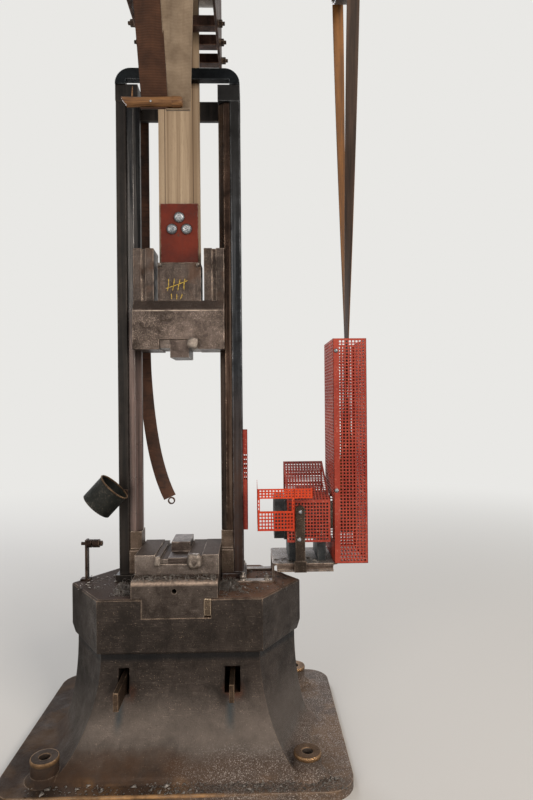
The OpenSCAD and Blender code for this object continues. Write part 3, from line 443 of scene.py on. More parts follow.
def casting_marks(tree, place, tone, patch):
    """Painted shade under the overhang of the head, a paler flare that is painted light where its
    slope faces up, brown grease and rust towards its foot and on the plate, grey scale on its right
    front, grease runs and rust below the cotters, a bright line along the plate's front edge that
    is part rubbed wear and part painted highlight, painted shade on the left side and on the left
    of the plate, and brown dust on what faces up."""
    x, y, z = (reading(tree, place, axis) for axis in "XYZ")
    drift = times(tree, plus(tree, noise(tree, place, 3.5, 5, 0.6), -0.5), 0.16)
    level, sway = plus(tree, z, drift), plus(tree, x, drift)
    # Painted light: the low flare is paler, as its slope faces up to the light.
    tone = mix(tree, times(tree, band(tree, level, 0.11, 0.27, 0.06), 0.5), tone, "6F665F")
    # Painted shade: a dark band under the overhang of the head, where its shadow falls.
    waist_shade = times(tree, band(tree, z, waist_z - 0.031, waist_z + 0.003, 0.01), 0.8)
    tone = mix(tree, waist_shade, tone, "15171A")
    brown = times(tree, ramp(tree, level, 0.13, 0.08),
                  blotches(tree, place, 6, 7, 0.65, 0.36, 0.56, 0.35, 0.9))
    tone = mix(tree, brown, tone, "4F3A2B")
    gold = ramp(tree, noise(tree, place, 4, 6, 0.7, 0.6), 0.46, 0.6, 0, 0.75)
    tone = mix(tree, times(tree, ramp(tree, z, plate_top + 0.02, plate_top + 0.002), gold), tone, "765738")
    grey = times(tree, ramp(tree, level, 0.16, 0.06), ramp(tree, sway, -0.08, 0.22))
    tone = mix(tree, times(tree, grey, 0.35), tone, "6E655F")
    flecks = sums(tree, "MAXIMUM", dots(tree, place, 150, 0.75, 0.42), dots(tree, place, 290, 0.8, 0.42))
    flecks = times(tree, flecks, blotches(tree, place, 12, 6, 0.7, 0.32, 0.5))
    tone = mix(tree, times(tree, grey, flecks), tone, "B1A8A1")
    front = ramp(tree, y, 0.0, -0.1)
    for left in cotter_lefts:
        wobble = times(tree, noise(tree, place, 11, 3, 0.5), 0.03)
        grease = times(tree, band(tree, plus(tree, x, wobble), left, left + cotter_t, 0.012),
                       band(tree, z, slot_z - 0.122, slot_z - 0.012, 0.03), front, 0.65)
        tone = mix(tree, grease, tone, "2F3B40")
        rust = times(tree, band(tree, x, left - 0.035, left + 0.06, 0.015),
                     band(tree, z, slot_z - 0.022, slot_z + 0.033, 0.015),
                     ramp(tree, patch, 0.4, 0.56, 0.05, 0.6), front)
        tone = mix(tree, rust, tone, "54301F")
    # Part rubbed wear, part painted highlight: a bright line along the plate's front edge.
    rim = times(tree, band(tree, z, plate_top - 0.009, plate_top + 0.005, 0.003),
                ramp(tree, y, plate_front + 0.013, plate_front + 0.006),
                blotches(tree, place, 16, 6, 0.7, 0.4, 0.58, 0.3, 1.0), ramp(tree, x, 0.26, 0.12, 0.1, 1.0))
    tone = mix(tree, rim, tone, "B98F62")
    # Painted shade: the left face of the casting and the left of the plate are darkened, as they lie away
    # from the light; the shaded side also dulls the metal there.
    side = times(tree, ramp(tree, sway, -0.36, -0.5), ramp(tree, z, 0.1, 0.26, 0.2, 0.8))
    tone = mix(tree, side, tone, "1A1410")
    plate_left_shade = times(tree, ramp(tree, x, -0.3, -0.6, 0, 0.6), ramp(tree, z, 0.1, 0.05))
    tone = mix(tree, plate_left_shade, tone, "1F1712")
    dust = times(tree, facing_up(tree, 0.6, 0.95), ramp(tree, z, 0.5, 0.7),
                 ramp(tree, patch, 0.35, 0.6, 0.6, 1.0))
    warm = mix(tree, ramp(tree, x, -0.3, 0.35), "3B2D26", "6E5241")
    return mix(tree, dust, tone, warm), sums(tree, "MAXIMUM", dust, times(tree, brown, 0.75), side)


def worn_edges(tree, place):
    """Edges shine round the top of the head, at the recess and low on the plate, hardly between."""
    x, z = reading(tree, place, "X"), reading(tree, place, "Z")
    top = ramp(tree, z, head_top - 0.036, head_top - 0.014, 0.16, 1.0)
    recess = times(tree, ramp(tree, z, recess_z - 0.022, recess_z - 0.008),
                   band(tree, x, recess_left - 0.021, recess_right + 0.021, 0.012))
    foot = ramp(tree, z, 0.2, 0.08, 0.1, 0.75)
    return sums(tree, "MAXIMUM", top, recess, foot)


casting_iron = iron("casting_iron", "2A2522", "433B36", "A08B78", "776C64", metal=0.7, rough=0.48, speck=0.35,
                    wear=worn_edges, sparks=0.02, extra=casting_marks)
dress(casting_iron, "base_casting")


# Foundation bolts. A rough steel stud stands in the hole of each boss of the plate, below the
# boss's hammered rim, which is rubbed gold round its edge.
boss_x, boss_y, boss_top = 0.547, 0.397, 0.125


def rim_marks(tree, place, tone, patch):
    """Painted shade on the left of the plate, and rubbed gold round the edge of the rim."""
    # Painted shade: the rims on the left are darkened, as they lie away from the light.
    left = ramp(tree, reading(tree, place, "X"), 0.1, -0.3, 0, 0.75)
    mirrored = node(tree, "VectorMath", {0: place}, operation="ABSOLUTE")[0]
    boss = (boss_x, boss_y, boss_top)
    away = node(tree, "VectorMath", {0: mirrored, 1: boss}, operation="DISTANCE")["Value"]
    ring = times(tree, band(tree, away, 0.0545, 0.0592, 0.0015), ramp(tree, patch, 0.34, 0.5, 0.2, 0.7))
    return mix(tree, ring, mix(tree, left, tone, "1F1813"), "A9845C"), sums(tree, "SUBTRACT", left, ring)


bolt_iron = iron("bolt_iron", "17120F", "3A2E27", "7F6B5A", "54483F", rough=0.56, speck=0.3)
rim_iron = iron("rim_iron", "4B3828", "765B43", "B8946F", "9A8069", rough=0.38, wear=0.8, extra=rim_marks)
thread = [(0.0185 + 0.0012 * (k % 2), 0.0022 * k - 0.06) for k in range(20)]
stud = [(0, -0.06), *thread, (0.0165, -0.014), (0, -0.0135)]
boss_rim = [(0.0228, -0.004), (0.0242, 0.0018), (0.034, 0.0012), (0.050, 0.0026), (0.0565, 0.0015),
            (0.0592, -0.005), (0.0586, -0.013), (0.0572, -0.016)]
bosses = [(x, y, boss_top) for x in (-boss_x, boss_x) for y in (-boss_y, boss_y)]
for name, profile, sides, material in (("foundation_studs", stud, 24, bolt_iron),
                                       ("boss_rims", boss_rim, 48, rim_iron)):
    grids = [turned(profile, at, (0, 0, 1), sides) for at in bosses]
    mesh_piece(name, grids, "frame", material, 50)


# Sow block, its key, the die holder and the dies. Forged steel, held in one another by keys and
# wedges, paler than the casting, with soft bright edges.
(_, sow_front, _), (_, _, sow_top) = box_of("sow_block")


def sow_marks(tree, place, tone, patch):
    """A bright band along the front edge on top of the block, part rubbed wear and part painted highlight,
    hammered and warm in colour.
    """
    dust = times(tree, facing_up(tree, 0.7, 0.98), ramp(tree, patch, 0.34, 0.62, 0.2, 0.8))
    # Part painted highlight, part rubbed wear: the bright band along the block's top front edge.
    shine = times(tree, band(tree, reading(tree, place, "Z"), sow_top - 0.018, sow_top + 0.007, 0.005),
                  ramp(tree, reading(tree, place, "Y"), sow_front + 0.04, sow_front + 0.022),
                  blotches(tree, place, 60, 6, 0.7, 0.36, 0.56, 0.25, 0.95))
    return mix(tree, shine, mix(tree, dust, tone, "44362D"), "9F8D7F"), times(tree, dust, 0.8)


def packed_dust(tree, place, tone, patch):
    """Brown dust burnt onto what faces up."""
    dust = times(tree, facing_up(tree, 0.7, 0.98), ramp(tree, patch, 0.34, 0.62, 0.55, 0.95))
    return mix(tree, dust, tone, "3A2D26"), dust


tool_steel = iron("tool_steel", "453C37", "7B716A", "B9A99B", "A89E96", rough=0.42, speck=0.7, sparks=0.1,
                  extra=packed_dust)
sow_steel = iron("sow_steel", "332C28", "5A514B", "AC9A8A", "857A72", speck=0.3, coarse=0.7, sparks=0.02,
                 extra=sow_marks)
die_steel = iron("die_steel", "2E2724", "5B504A", "A8998E", "7F756F", metal=0.85, rough=0.38)
key_steel = iron("key_steel", "3A3029", "665849", "C9B59C", "A6947E", metal=0.75, rough=0.44, speck=0.7,
                 wear=1.4)
dress(sow_steel, "sow_block")
dress(key_steel, "sow_key")
dress(tool_steel, "die_holder", "lower_die_packing", "lower_die_wedge", "upper_die_wedge")
dress(die_steel, "lower_die", "upper_die")


# Struck ends. Years of sledge blows have spread the ends of the wedges and of the packing into
# lumpy bright heads.
def lumps(points, size, amount, seed):
    """Moves points by a sum of nine plane waves of about that size, each with its own direction,
    so that neighbouring points move alike."""
    rng = np.random.default_rng(seed)
    way = rng.normal(size=(9, 3)) / size
    phase = rng.uniform(0, 2 * math.pi, 9)
    push = rng.normal(size=(9, 3)) * amount / 3
    return points + np.sin(points @ way.T + phase) @ push


def struck_head(at, rx, ry, rz, seed):
    """A flattened ball with a rim: radius falls off as a rounded square, then it is made lumpy."""
    u = np.linspace(0, math.pi, 26)[:, None]
    v = np.linspace(0, 2 * math.pi, 40, endpoint=False)[None, :]
    out = np.sin(u) ** 0.6
    x = rx * out * np.sign(np.cos(v)) * np.abs(np.cos(v)) ** 0.62
    y = ry * np.sign(np.cos(u)) * np.abs(np.cos(u)) ** 0.8
    z = rz * out * np.sign(np.sin(v)) * np.abs(np.sin(v)) ** 0.62
    points = np.stack(np.broadcast_arrays(x, -y, z), -1) + np.array(at)
    points = lumps(lumps(points, 0.013, 0.0021, seed), 0.005, 0.0006, seed + 20)
    points[0], points[-1] = points[0].mean(0), points[-1].mean(0)
    return points, False, True


struck_steel = iron("struck_steel", "5C524A", "8F857C", "D3C8BC", "C4BAB0", metal=0.75, rough=0.38, speck=0.9)
lower_heads = [struck_head((0.058, -0.181, 0.871), 0.034, 0.017, 0.035, 3),
               struck_head((-0.11, -0.173, 0.869), 0.015, 0.009, 0.023, 5)]
upper_head = struck_head((0.047, -0.051, 1.874), 0.026, 0.016, 0.027, 8)
mesh_piece("struck_ends", lower_heads, "frame", struck_steel)
mesh_piece("ram_wedge_end", [upper_head], "falling_weight", struck_steel)


# Cotters. Two flat forged bars on edge are driven into the slots of the pedestal. They are brown
# with rust and grease, and their ends are battered.
cotter_steel = iron("cotter_steel", "30261F", "5F4E40", "A98F76", "84735F", rough=0.45)
dress(cotter_steel, "cotters")


# Columns and their ties. Rolled steel bars on soles on the anvil head, black-brown with grease,
# the right column a lighter streaked blue-grey that is painted sheen of the light on it, and
# their edges rubbed bright.
def column_marks(tree, place, tone, patch):
    """Darker over the upper part, rust-brown grease near the foot."""
    z = reading(tree, place, "Z")
    high = ramp(tree, z, 2.35, 2.8, 0, 0.95)
    low = times(tree, ramp(tree, z, 1.75, 1.15), ramp(tree, patch, 0.36, 0.6, 0.5, 0.9))
    tone = mix(tree, low, mix(tree, high, tone, "100F0F"), "3F2A1F")
    return tone, sums(tree, "MAXIMUM", high, times(tree, low, 0.6))


column_steel = iron("column_steel", "0B0806", "1A1410", "4A423C", "221C18", metal=0.25, rough=0.5, speck=0.1,
                    streak=0.25, coarse=0.2, sparks=0.0)
# Painted sheen: the right column gets a lighter blue-grey copy of the dark column steel, for the light on its
# faces.
right_sheen_steel = iron("right_sheen_steel", "191A1C", "35373A", "7B7E82", "3F4144", rough=0.34, speck=0.08,
                   streak=0.3, coarse=0.15, sparks=0.0, extra=column_marks)
arch_steel = iron("arch_steel", "101214", "222527", "63676A", "303437", metal=0.9, rough=0.36, speck=0.1,
                  coarse=0.2, sparks=0.0)
dress(column_steel, "left_column", "cross_tie", "head_posts")
dress(right_sheen_steel, "right_column")
dress(arch_steel, "arch_tie")


# Guides. The ram runs on them in oil, which leaves long streaks, dark above and pale and warm
# below.
def guide_marks(tree, place, tone, patch):
    """Pale warm steel on the lower half, in long streaks that fade out upwards."""
    drawn = noise(tree, stretched(tree, (50, 50, 0.9)), 1, 5, 0.6)
    low = ramp(tree, reading(tree, place, "Z"), 2.1, 1.6)
    return mix(tree, times(tree, low, ramp(tree, drawn, 0.36, 0.62, 0.25, 0.9)), tone, "85716A"), None


guide_steel = iron("guide_steel", "121213", "2B2C2E", "85817E", "3A3A3B", metal=0.75, rough=0.33, speck=0.08,
                   streak=0.4, coarse=0.15, sparks=0.0, extra=guide_marks)
brown_guide = iron("brown_guide", "1C1410", "46352C", "8E7A6B", "57463B", metal=0.9, rough=0.32, speck=0.08,
                   streak=0.4, coarse=0.15, sparks=0.0)
foot_iron = iron("foot_iron", "33291F", "64554A", "B3A292", "857A70", metal=0.75, rough=0.44)
dress(guide_steel, "left_guide")
dress(brown_guide, "right_guide")
dress(foot_iron, "guide_feet")


# Bolts and nuts of the frame. Hexagon nuts on studs, with washers, hold the cranked flats on
# the anvil head and the flat tie behind the columns.
def bolt_stack(at, axis, across, stud):
    """Washer, chamfered hexagon nut and the stud's end above it, as turned grids along axis."""
    r, h = across / 2, across * 0.8
    nut = [(0, 0), (r * 1.25, 0, 0), (r * 1.25, h * 0.16, 0), (r, h * 0.17, 0), (r, h * 0.22), (r, h * 0.92),
           (r * 0.97, h, 0), (r * 0.6, h, 0)]
    end = [(r * 0.6, h, 0), (r * 0.58, h + stud, 0), (r * 0.5, h + stud + r * 0.08, 0),
           (0, h + stud + r * 0.08)]
    return turned(nut + end, at, axis, 24, 6)


bright_nut = iron("bright_nut", "544C46", "8E857D", "D6CDC2", "A9A098", metal=0.9, rough=0.32, speck=0.3,
                  wear=0.7)
flat_top, tie_back, column_x = head_top + 0.01, 0.15, (-0.302, 0.254)
foot_nuts = [bolt_stack((x, y, flat_top), (0, 0, 1), across, stud) for x, y, across, stud in (
    (0.275, -0.032, 0.03, 0.012), (0.39, -0.032, 0.024, 0.008), (0.275, 0.17, 0.03, 0.012))]
mesh_piece("foot_nuts", foot_nuts, "frame", bright_nut, 30)
tie_nuts = [bolt_stack((x, tie_back, z), (0, 1, 0), 0.036, 0.01) for x in column_x for z in (3.045, 3.092)]
mesh_piece("tie_nuts", tie_nuts, "frame", column_steel, 30)


# Ram. Block, legs and web are one forging. Its faces are scraped and spattered, and the legs
# shine where they run. Chalk tallies stand on the web.
block_top, web_front = 2.033, 0.013


def ram_marks(tree, place, tone, patch):
    """Painted shade in the corner over the block, a painted highlight along its top edge, darker
    steel higher up, and grease and rust that ran down the legs."""
    z = reading(tree, place, "Z")
    # Painted shade: a dark band over the block stands for the shadow in the corner under the web.
    grease = times(tree, band(tree, z, block_top + 0.007, block_top + 0.055, 0.004), 0.8)
    tone = mix(tree, grease, tone, "2B231F")
    # Painted highlight: a thin bright line along the block's top edge.
    line = times(tree, band(tree, z, block_top - 0.002, block_top + 0.0025, 0.0015),
                 blotches(tree, place, 20, 6, 0.7, 0.36, 0.56, 0.2, 0.9))
    tone = mix(tree, line, tone, "C2B1A2")
    tone = mix(tree, ramp(tree, z, block_top + 0.047, block_top + 0.077, 0, 0.48), tone, "2E2825")
    drawn = noise(tree, stretched(tree, (60, 60, 2.2)), 1, 5, 0.6)
    runs = times(tree, ramp(tree, z, block_top + 0.017, block_top + 0.087),
                 ramp(tree, drawn, 0.5, 0.62, 0, 0.55))
    tone = mix(tree, runs, tone, "332B27")
    rust = times(tree, ramp(tree, z, block_top + 0.017, block_top + 0.117),
                 blotches(tree, place, 9, 5, 0.6, 0.5, 0.64, 0, 0.6))
    return mix(tree, rust, tone, "5E4536"), rust


ram_steel = iron("ram_steel", "362E29", "685C55", "B3A091", "A0948A", metal=0.75, rough=0.42, speck=0.7,
                 sparks=0.2, coarse=0.75, extra=ram_marks)
dress(ram_steel, "ram")

chalk, tree, shader = new_material("chalk", roughness=0.95)
dusty = mix(tree, blotches(tree, own_place(tree), 240, 5, 0.7, 0.4, 0.6), "9C8230", "CDB24C")
tree.links.new(dusty, shader.inputs["Base Color"])
strokes = [((-0.075, 2.195), (-0.082, 2.135)), ((-0.05, 2.197), (-0.054, 2.138)),
           ((-0.022, 2.194), (-0.028, 2.137)), ((0.004, 2.196), (0.0, 2.14)),
           ((-0.09, 2.15), (0.018, 2.185)), ((-0.06, 2.122), (-0.064, 2.096)),
           ((-0.036, 2.12), (-0.04, 2.094)), ((-0.012, 2.122), (-0.018, 2.096))]


def chalk_stroke(k, a, b):
    """A ribbon from a to b on the web, 0.4 mm proud of it, that sways and swells along its run as
    two sines and thins out at its ends."""
    t = np.linspace(0, 1, 18)
    way = np.array([b[0] - a[0], b[1] - a[1]])
    side = np.array([-way[1], way[0]]) / np.linalg.norm(way)
    sway = 0.0025 * np.sin(3 * t + k)[:, None]
    half = 0.0017 * (1 + 0.35 * np.sin(19 * t + 2 * k)) * np.minimum(1, 8 * np.minimum(t, 1 - t) + 0.35)
    line = np.array(a) + t[:, None] * way + sway * side
    edges = np.stack([line - side * half[:, None], line + side * half[:, None]], 1)
    return np.stack([edges[..., 0], np.full((18, 2), web_front - 0.0004), edges[..., 1]], -1), False, False


tally = [chalk_stroke(k, a, b) for k, (a, b) in enumerate(strokes)]
mesh_piece("chalk_tally", tally, "falling_weight", chalk)
web_nuts = [bolt_stack((x, web_front, 2.262), (0, -1, 0), 0.016, 0.004) for x in (-0.118, 0.07)]
mesh_piece("web_nuts", web_nuts, "falling_weight", bright_nut, 30)


# Board clamp. Two brick-red plates pinch the foot of the board, drawn together by three bolts
# with bright domed heads.
clamp_paint, tree, shader = new_material("clamp_paint", specular_ior_level=0.25)
place = own_place(tree)
flake = noise(tree, place, 42, 8, 0.75)
smear = noise(tree, stretched(tree, (60, 60, 3)), 1, 4, 0.6)
tone = mix(tree, blotches(tree, place, 7, 5, 0.6, 0.35, 0.68), "4A1407", "6C2411")
tone = mix(tree, ramp(tree, flake, 0.6, 0.67), tone, "3A2A24")
tone = mix(tree, ramp(tree, smear, 0.55, 0.72, 0, 0.35), tone, "4A2018")
normal, edges = rounded(tree, 0.005, 0.88)
tone = mix(tree, times(tree, edges, ramp(tree, flake, 0.42, 0.55)), tone, "8E7F76")
lay(tree, shader, tone, flake, 0.3, 0.002, ramp(tree, flake, 0.3, 0.7, 0.7, 0.5), normal)
dress(clamp_paint, "board_clamp")

zinc = iron("zinc", "5F6367", "A4A8AC", "E4E6E8", "C6C9CC", metal=0.9, rough=0.28, speck=0.4, wear=0.5,
            coarse=0.6)
clamp_front = 0.037
dome = [(0.0262, -0.001), (0.0266, 0.0022), (0.0252, 0.004), (0.0256, 0.0075), (0.0215, 0.0126),
        (0.0145, 0.0154), (0.013, 0.0157), (0.0122, 0.0138), (0.006, 0.0132), (0, 0.0132)]
domes = [turned(dome, (x, clamp_front, z), (0, -1, 0), 40) for x, z in (
    (-0.024, 2.502), (-0.06, 2.444), (0.012, 2.444))]
mesh_piece("clamp_bolts", domes, "falling_weight", zinc, 35)


# Lifting board. A long beech board of three glued staves, pinched by the clamp at its foot. The
# rolls grip its faces, so grease and rubbing leave long faint marks.
board_joints, board_dark, board_light = (-0.094, 0.045), "7F6B55", "B3A087"
board_wood, tree, shader = new_material("board_wood", roughness=0.58, specular_ior_level=0.3)
fibre = noise(tree, stretched(tree, (420, 420, 9)), 1, 4, 0.6)
growth = noise(tree, stretched(tree, (34, 34, 0.55)), 1, 5, 0.55, 0.6)
fleck = noise(tree, stretched(tree, (260, 260, 34)), 1, 2, 0.5)
tone = mix(tree, ramp(tree, growth, 0.34, 0.66), board_dark, board_light)
tone = mix(tree, ramp(tree, fibre, 0.5, 0.72, 0, 0.35), tone, board_dark)
tone = mix(tree, ramp(tree, fleck, 0.6, 0.68, 0, 0.4), tone, board_dark)
for joint_x in board_joints:
    away = off(tree, reading(tree, own_place(tree), "X"), joint_x)
    tone = mix(tree, ramp(tree, away, 0.0022, 0.0008), tone, "3E2C1C")
soil = noise(tree, stretched(tree, (16, 16, 0.9)), 1, 4, 0.6)
tone = mix(tree, ramp(tree, soil, 0.5, 0.75, 0, 0.3), tone, "6E5740")
lay(tree, shader, tone, plus(tree, times(tree, fibre, 0.5), fleck), 0.25, 0.0015)
dress(board_wood, "lifting_board")


# Roll box. Two side plates on cross rails carry the shafts of the friction rolls. Flanged
# bearings and tie bolts sit on the plates. It is dark red-brown with old paint and grease.
def middle_of(name):
    """The middle of a CAD node's box."""
    return box_of(name).mean(axis=0)


box_iron = iron("box_iron", "261914", "4B3127", "80604F", "574239", metal=0.6, rough=0.48, speck=0.3,
                streak=0.2)
roll_steel = iron("roll_steel", "4F4842", "8B8178", "C9C0B6", "A0968C", metal=0.9, rough=0.34, speck=0.3,
                  coarse=0.4)
pulley_iron = iron("pulley_iron", "3B3733", "6E6862", "A89F96", "827A72", metal=0.7, rough=0.42, speck=0.35)
dress(box_iron, "box_cheeks", "box_rails")
dress(column_steel, "outboard_arm", "belt_hanger")
dress(roll_steel, "drive_roll", "rear_roll")
dress(pulley_iron, "drive_pulley", "motor_pulley")
(cheek_left, _, _), (cheek_right, _, _) = box_of("box_cheeks")
_, drive_y, roll_z = middle_of("drive_roll")
rear_y, flange_t, flange_pitch = middle_of("rear_roll")[1], 0.016, 0.05
tie_bolts = [(y, z) for z in (3.431, 4.001) for y in (-0.002, 0.147)] + [(-0.203, 3.455), (0.349, 3.455)]
box_nuts = []
for y in (drive_y, rear_y):
    for x, s in ((cheek_left, -1), (cheek_right, 1)):
        for a in (math.radians(45 + 90 * k) for k in range(4)):
            at = (x, y + flange_pitch * math.cos(a), roll_z + flange_pitch * math.sin(a))
            box_nuts.append(bolt_stack(at, (s, 0, 0), 0.016, 0.003))
for x, s in ((cheek_left + flange_t, -1), (cheek_right - flange_t, 1)):
    for y, z in tie_bolts:
        box_nuts.append(bolt_stack((x, y, z), (s, 0, 0), 0.03, 0.01))
mesh_piece("box_nuts", box_nuts, "frame", bolt_iron, 30)


# Motor shelf and motor. A plate on two rails hangs off the anvil head on cranked flats. The
# motor stands on it on feet and is grey-green under dust.
def shelf_dust(tree, place, tone, patch):
    """Bright scale lies thick on the top of the shelf."""
    flecks = sums(tree, "MAXIMUM", dots(tree, place, 150, 0.7, 0.42), dots(tree, place, 280, 0.8, 0.42))
    flecks = times(tree, flecks, facing_up(tree, 0.7, 0.98))
    tone = mix(tree, facing_up(tree, 0.7, 0.98, 0.45), tone, "99928B")
    return mix(tree, times(tree, flecks, 0.85), tone, "D6DADF"), times(tree, flecks, 0.7)


bell_x = 0.69


def bell_marks(tree, place, tone, patch):
    """The end bell by the pulley is bare grey casting."""
    bare = ramp(tree, reading(tree, place, "X"), bell_x, bell_x + 0.004)
    return mix(tree, bare, tone, mix(tree, patch, "6A655D", "989186")), None


shelf_steel = iron("shelf_steel", "453730", "7A6A5E", "B0A092", "A89B91", metal=0.6, rough=0.48, speck=0.7,
                   sparks=0.2, extra=shelf_dust)
motor_paint = iron("motor_paint", "25282A", "484C4E", "7E7E7C", "5E5E5C", metal=0.3, rough=0.5, speck=0.35,
                   extra=bell_marks)
dress(shelf_steel, "motor_shelf", "shelf_brackets")
dress(motor_paint, "motor_housing")
_, motor_y, motor_z = middle_of("motor_pulley")
motor_bolts = [bolt_stack((x, motor_y + y, 0.948), (0, 0, 1), 0.018, 0.004)
               for x in (0.516, 0.655) for y in (-0.103, 0.103)]
mesh_piece("motor_bolts", motor_bolts, "frame", bright_nut, 30)


# Guards. Sheet steel punched with a grid of square holes, folded over flat edge strips and
# painted signal red, faded and rubbed at the edges.
edge_strip = 0.007


def punched_panel(corner, run, up, margin=(edge_strip,) * 4, pitch=(0.0152, 0.0152), hole=0.62, thick=0.0016):
    """A flat sheet punched with square holes, pitch apart along run and up, inside plain margins
    at the start and the end of run, then of up. Round each hole four faces join its corners to
    the cell's, on both skins, and four more line the hole. Gives points and faces."""
    corner, run, up = (np.array(v, float) for v in (corner, run, up))
    lu, lv = np.linalg.norm(run), np.linalg.norm(up)
    n = np.cross(run, up)
    n *= thick / np.linalg.norm(n)
    across = max(1, round((lu - margin[0] - margin[1]) / pitch[0]))
    rows = max(1, round((lv - margin[2] - margin[3]) / pitch[1]))
    cu = np.linspace(margin[0] / lu, 1 - margin[1] / lu, across + 1)
    cv = np.linspace(margin[2] / lv, 1 - margin[3] / lv, rows + 1)
    du, dv = cu[1] - cu[0], cv[1] - cv[0]
    in_u, in_v = du * (1 - hole) / 2, dv * (1 - hole) / 2
    gu, gv = np.concatenate([[0], cu, [1]]), np.concatenate([[0], cv, [1]])
    grid = np.stack(np.meshgrid(gu, gv, indexing="ij"), -1).reshape(-1, 2)
    a, b = np.meshgrid(cu[:-1], cv[:-1], indexing="ij")
    ring = np.stack([np.stack([a + u, b + v], -1) for u, v in (
        (in_u, in_v), (du - in_u, in_v), (du - in_u, dv - in_v), (in_u, dv - in_v))], 2)
    flat = np.concatenate([grid, ring.reshape(-1, 2)])
    wide = len(gv)
    i, j = np.meshgrid(np.arange(len(gu) - 1), np.arange(wide - 1), indexing="ij")
    cell = np.stack([i * wide + j, (i + 1) * wide + j, (i + 1) * wide + j + 1, i * wide + j + 1], -1)
    plain = (i == 0) | (j == 0) | (i == len(gu) - 2) | (j == wide - 2)
    outer = cell[~plain]
    inner = len(grid) + np.arange(len(outer))[:, None] * 4 + np.arange(4)
    pairs = [(k, (k + 1) % 4) for k in range(4)]
    frames = [np.stack([outer[:, k], outer[:, m], inner[:, m], inner[:, k]], -1) for k, m in pairs]
    skin = np.concatenate([cell[plain], *frames])
    back = len(flat)
    wall = [np.stack([inner[:, k], inner[:, m], inner[:, m] + back, inner[:, k] + back], -1)
            for k, m in pairs]
    rim = [0, (len(gu) - 1) * wide, len(gu) * wide - 1, wide - 1]
    edge = np.array([[rim[k], rim[k] + back, rim[m] + back, rim[m]] for k, m in pairs])
    points = corner + flat[:, :1] * run + flat[:, 1:] * up
    return np.concatenate([points, points - n]), np.concatenate([skin[:, ::-1], skin + back, *wall, edge])


def punched_piece(node_name, panels, material):
    """Joins punched panels into one piece of the frame that stands for a CAD node."""
    corners, faces, start = [], [], 0
    for points, cells in panels:
        corners.append(points)
        faces.append(cells + start)
        start += len(points)
    mesh = bpy.data.meshes.new(node_name + "_sheet")
    mesh.from_pydata(np.concatenate(corners).tolist(), [], np.concatenate(faces).tolist())
    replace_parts(new_piece(node_name + "_sheet", mesh, "frame", material), node_name)


guard_paint, tree, shader = new_material("guard_paint", specular_ior_level=0.25)
place = own_place(tree)
chip = noise(tree, place, 70, 7, 0.75)
tone = mix(tree, blotches(tree, place, 3.5, 5, 0.6, 0.35, 0.68), "84261A", "AB4735")
tone = mix(tree, ramp(tree, chip, 0.56, 0.68, 0, 0.7), tone, "CE8474")
tone = mix(tree, blotches(tree, place, 22, 8, 0.8, 0.6, 0.68, 0, 0.7), tone, "5E2A1C")
lay(tree, shader, tone, chip, 0.2, 0.001, ramp(tree, chip, 0.3, 0.7, 0.56, 0.4))

fan_paint, tree, shader = new_material("fan_paint", specular_ior_level=0.25)
place = own_place(tree)
chip = noise(tree, place, 80, 7, 0.75)
tone = mix(tree, blotches(tree, place, 6, 5, 0.6, 0.35, 0.66), "A82A13", "CF461F")
tone = mix(tree, ramp(tree, chip, 0.58, 0.7, 0, 0.6), tone, "DB7F62")
lay(tree, shader, tone, chip, 0.2, 0.001, ramp(tree, chip, 0.3, 0.7, 0.52, 0.38))

# The belt guard is a tall box. Its left side has a square opening for the motor's shaft.
(x0, y0, z0), (x1, y1, z1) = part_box("belt_guard")
shaft_room, left_strip = 0.1, 0.026
hole_y0, hole_y1 = motor_y - shaft_room, motor_y + shaft_room
hole_z0, hole_z1 = motor_z - shaft_room, motor_z + shaft_room
punched_piece("belt_guard", [
    punched_panel((x0, y0, z0), (x1 - x0, 0, 0), (0, 0, z1 - z0),
                  (left_strip, edge_strip, edge_strip, edge_strip)),
    punched_panel((x1, y0, z0), (0, y1 - y0, 0), (0, 0, z1 - z0)),
    punched_panel((x1, y1, z0), (x0 - x1, 0, 0), (0, 0, z1 - z0)),
    punched_panel((x0, y1, hole_z1), (0, y0 - y1, 0), (0, 0, z1 - hole_z1)),
    punched_panel((x0, y1, z0), (0, y0 - y1, 0), (0, 0, hole_z0 - z0)),
    punched_panel((x0, hole_y0, hole_z0), (0, y0 - hole_y0, 0), (0, 0, hole_z1 - hole_z0)),
    punched_panel((x0, y1, hole_z0), (0, hole_y1 - y1, 0), (0, 0, hole_z1 - hole_z0)),
    punched_panel((x0, y1, z0), (x1 - x0, 0, 0), (0, y0 - y1, 0)),
], guard_paint)

# The motor guard has a front that folds back over the motor, and a back.
(x0, y0, z0), (x1, y1, z1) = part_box("motor_guard")
motor_guard_front, fold_z = y0, z0 + 0.196
punched_piece("motor_guard", [
    punched_panel((x0, y0, z0), (x1 - x0, 0, 0), (0, 0, fold_z - z0)),
    punched_panel((x0, y0, fold_z), (x1 - x0, 0, 0), (0, y1 - y0, z1 - fold_z)),
    punched_panel((x1, y1, z0), (x0 - x1, 0, 0), (0, 0, z1 - z0)),
], guard_paint)

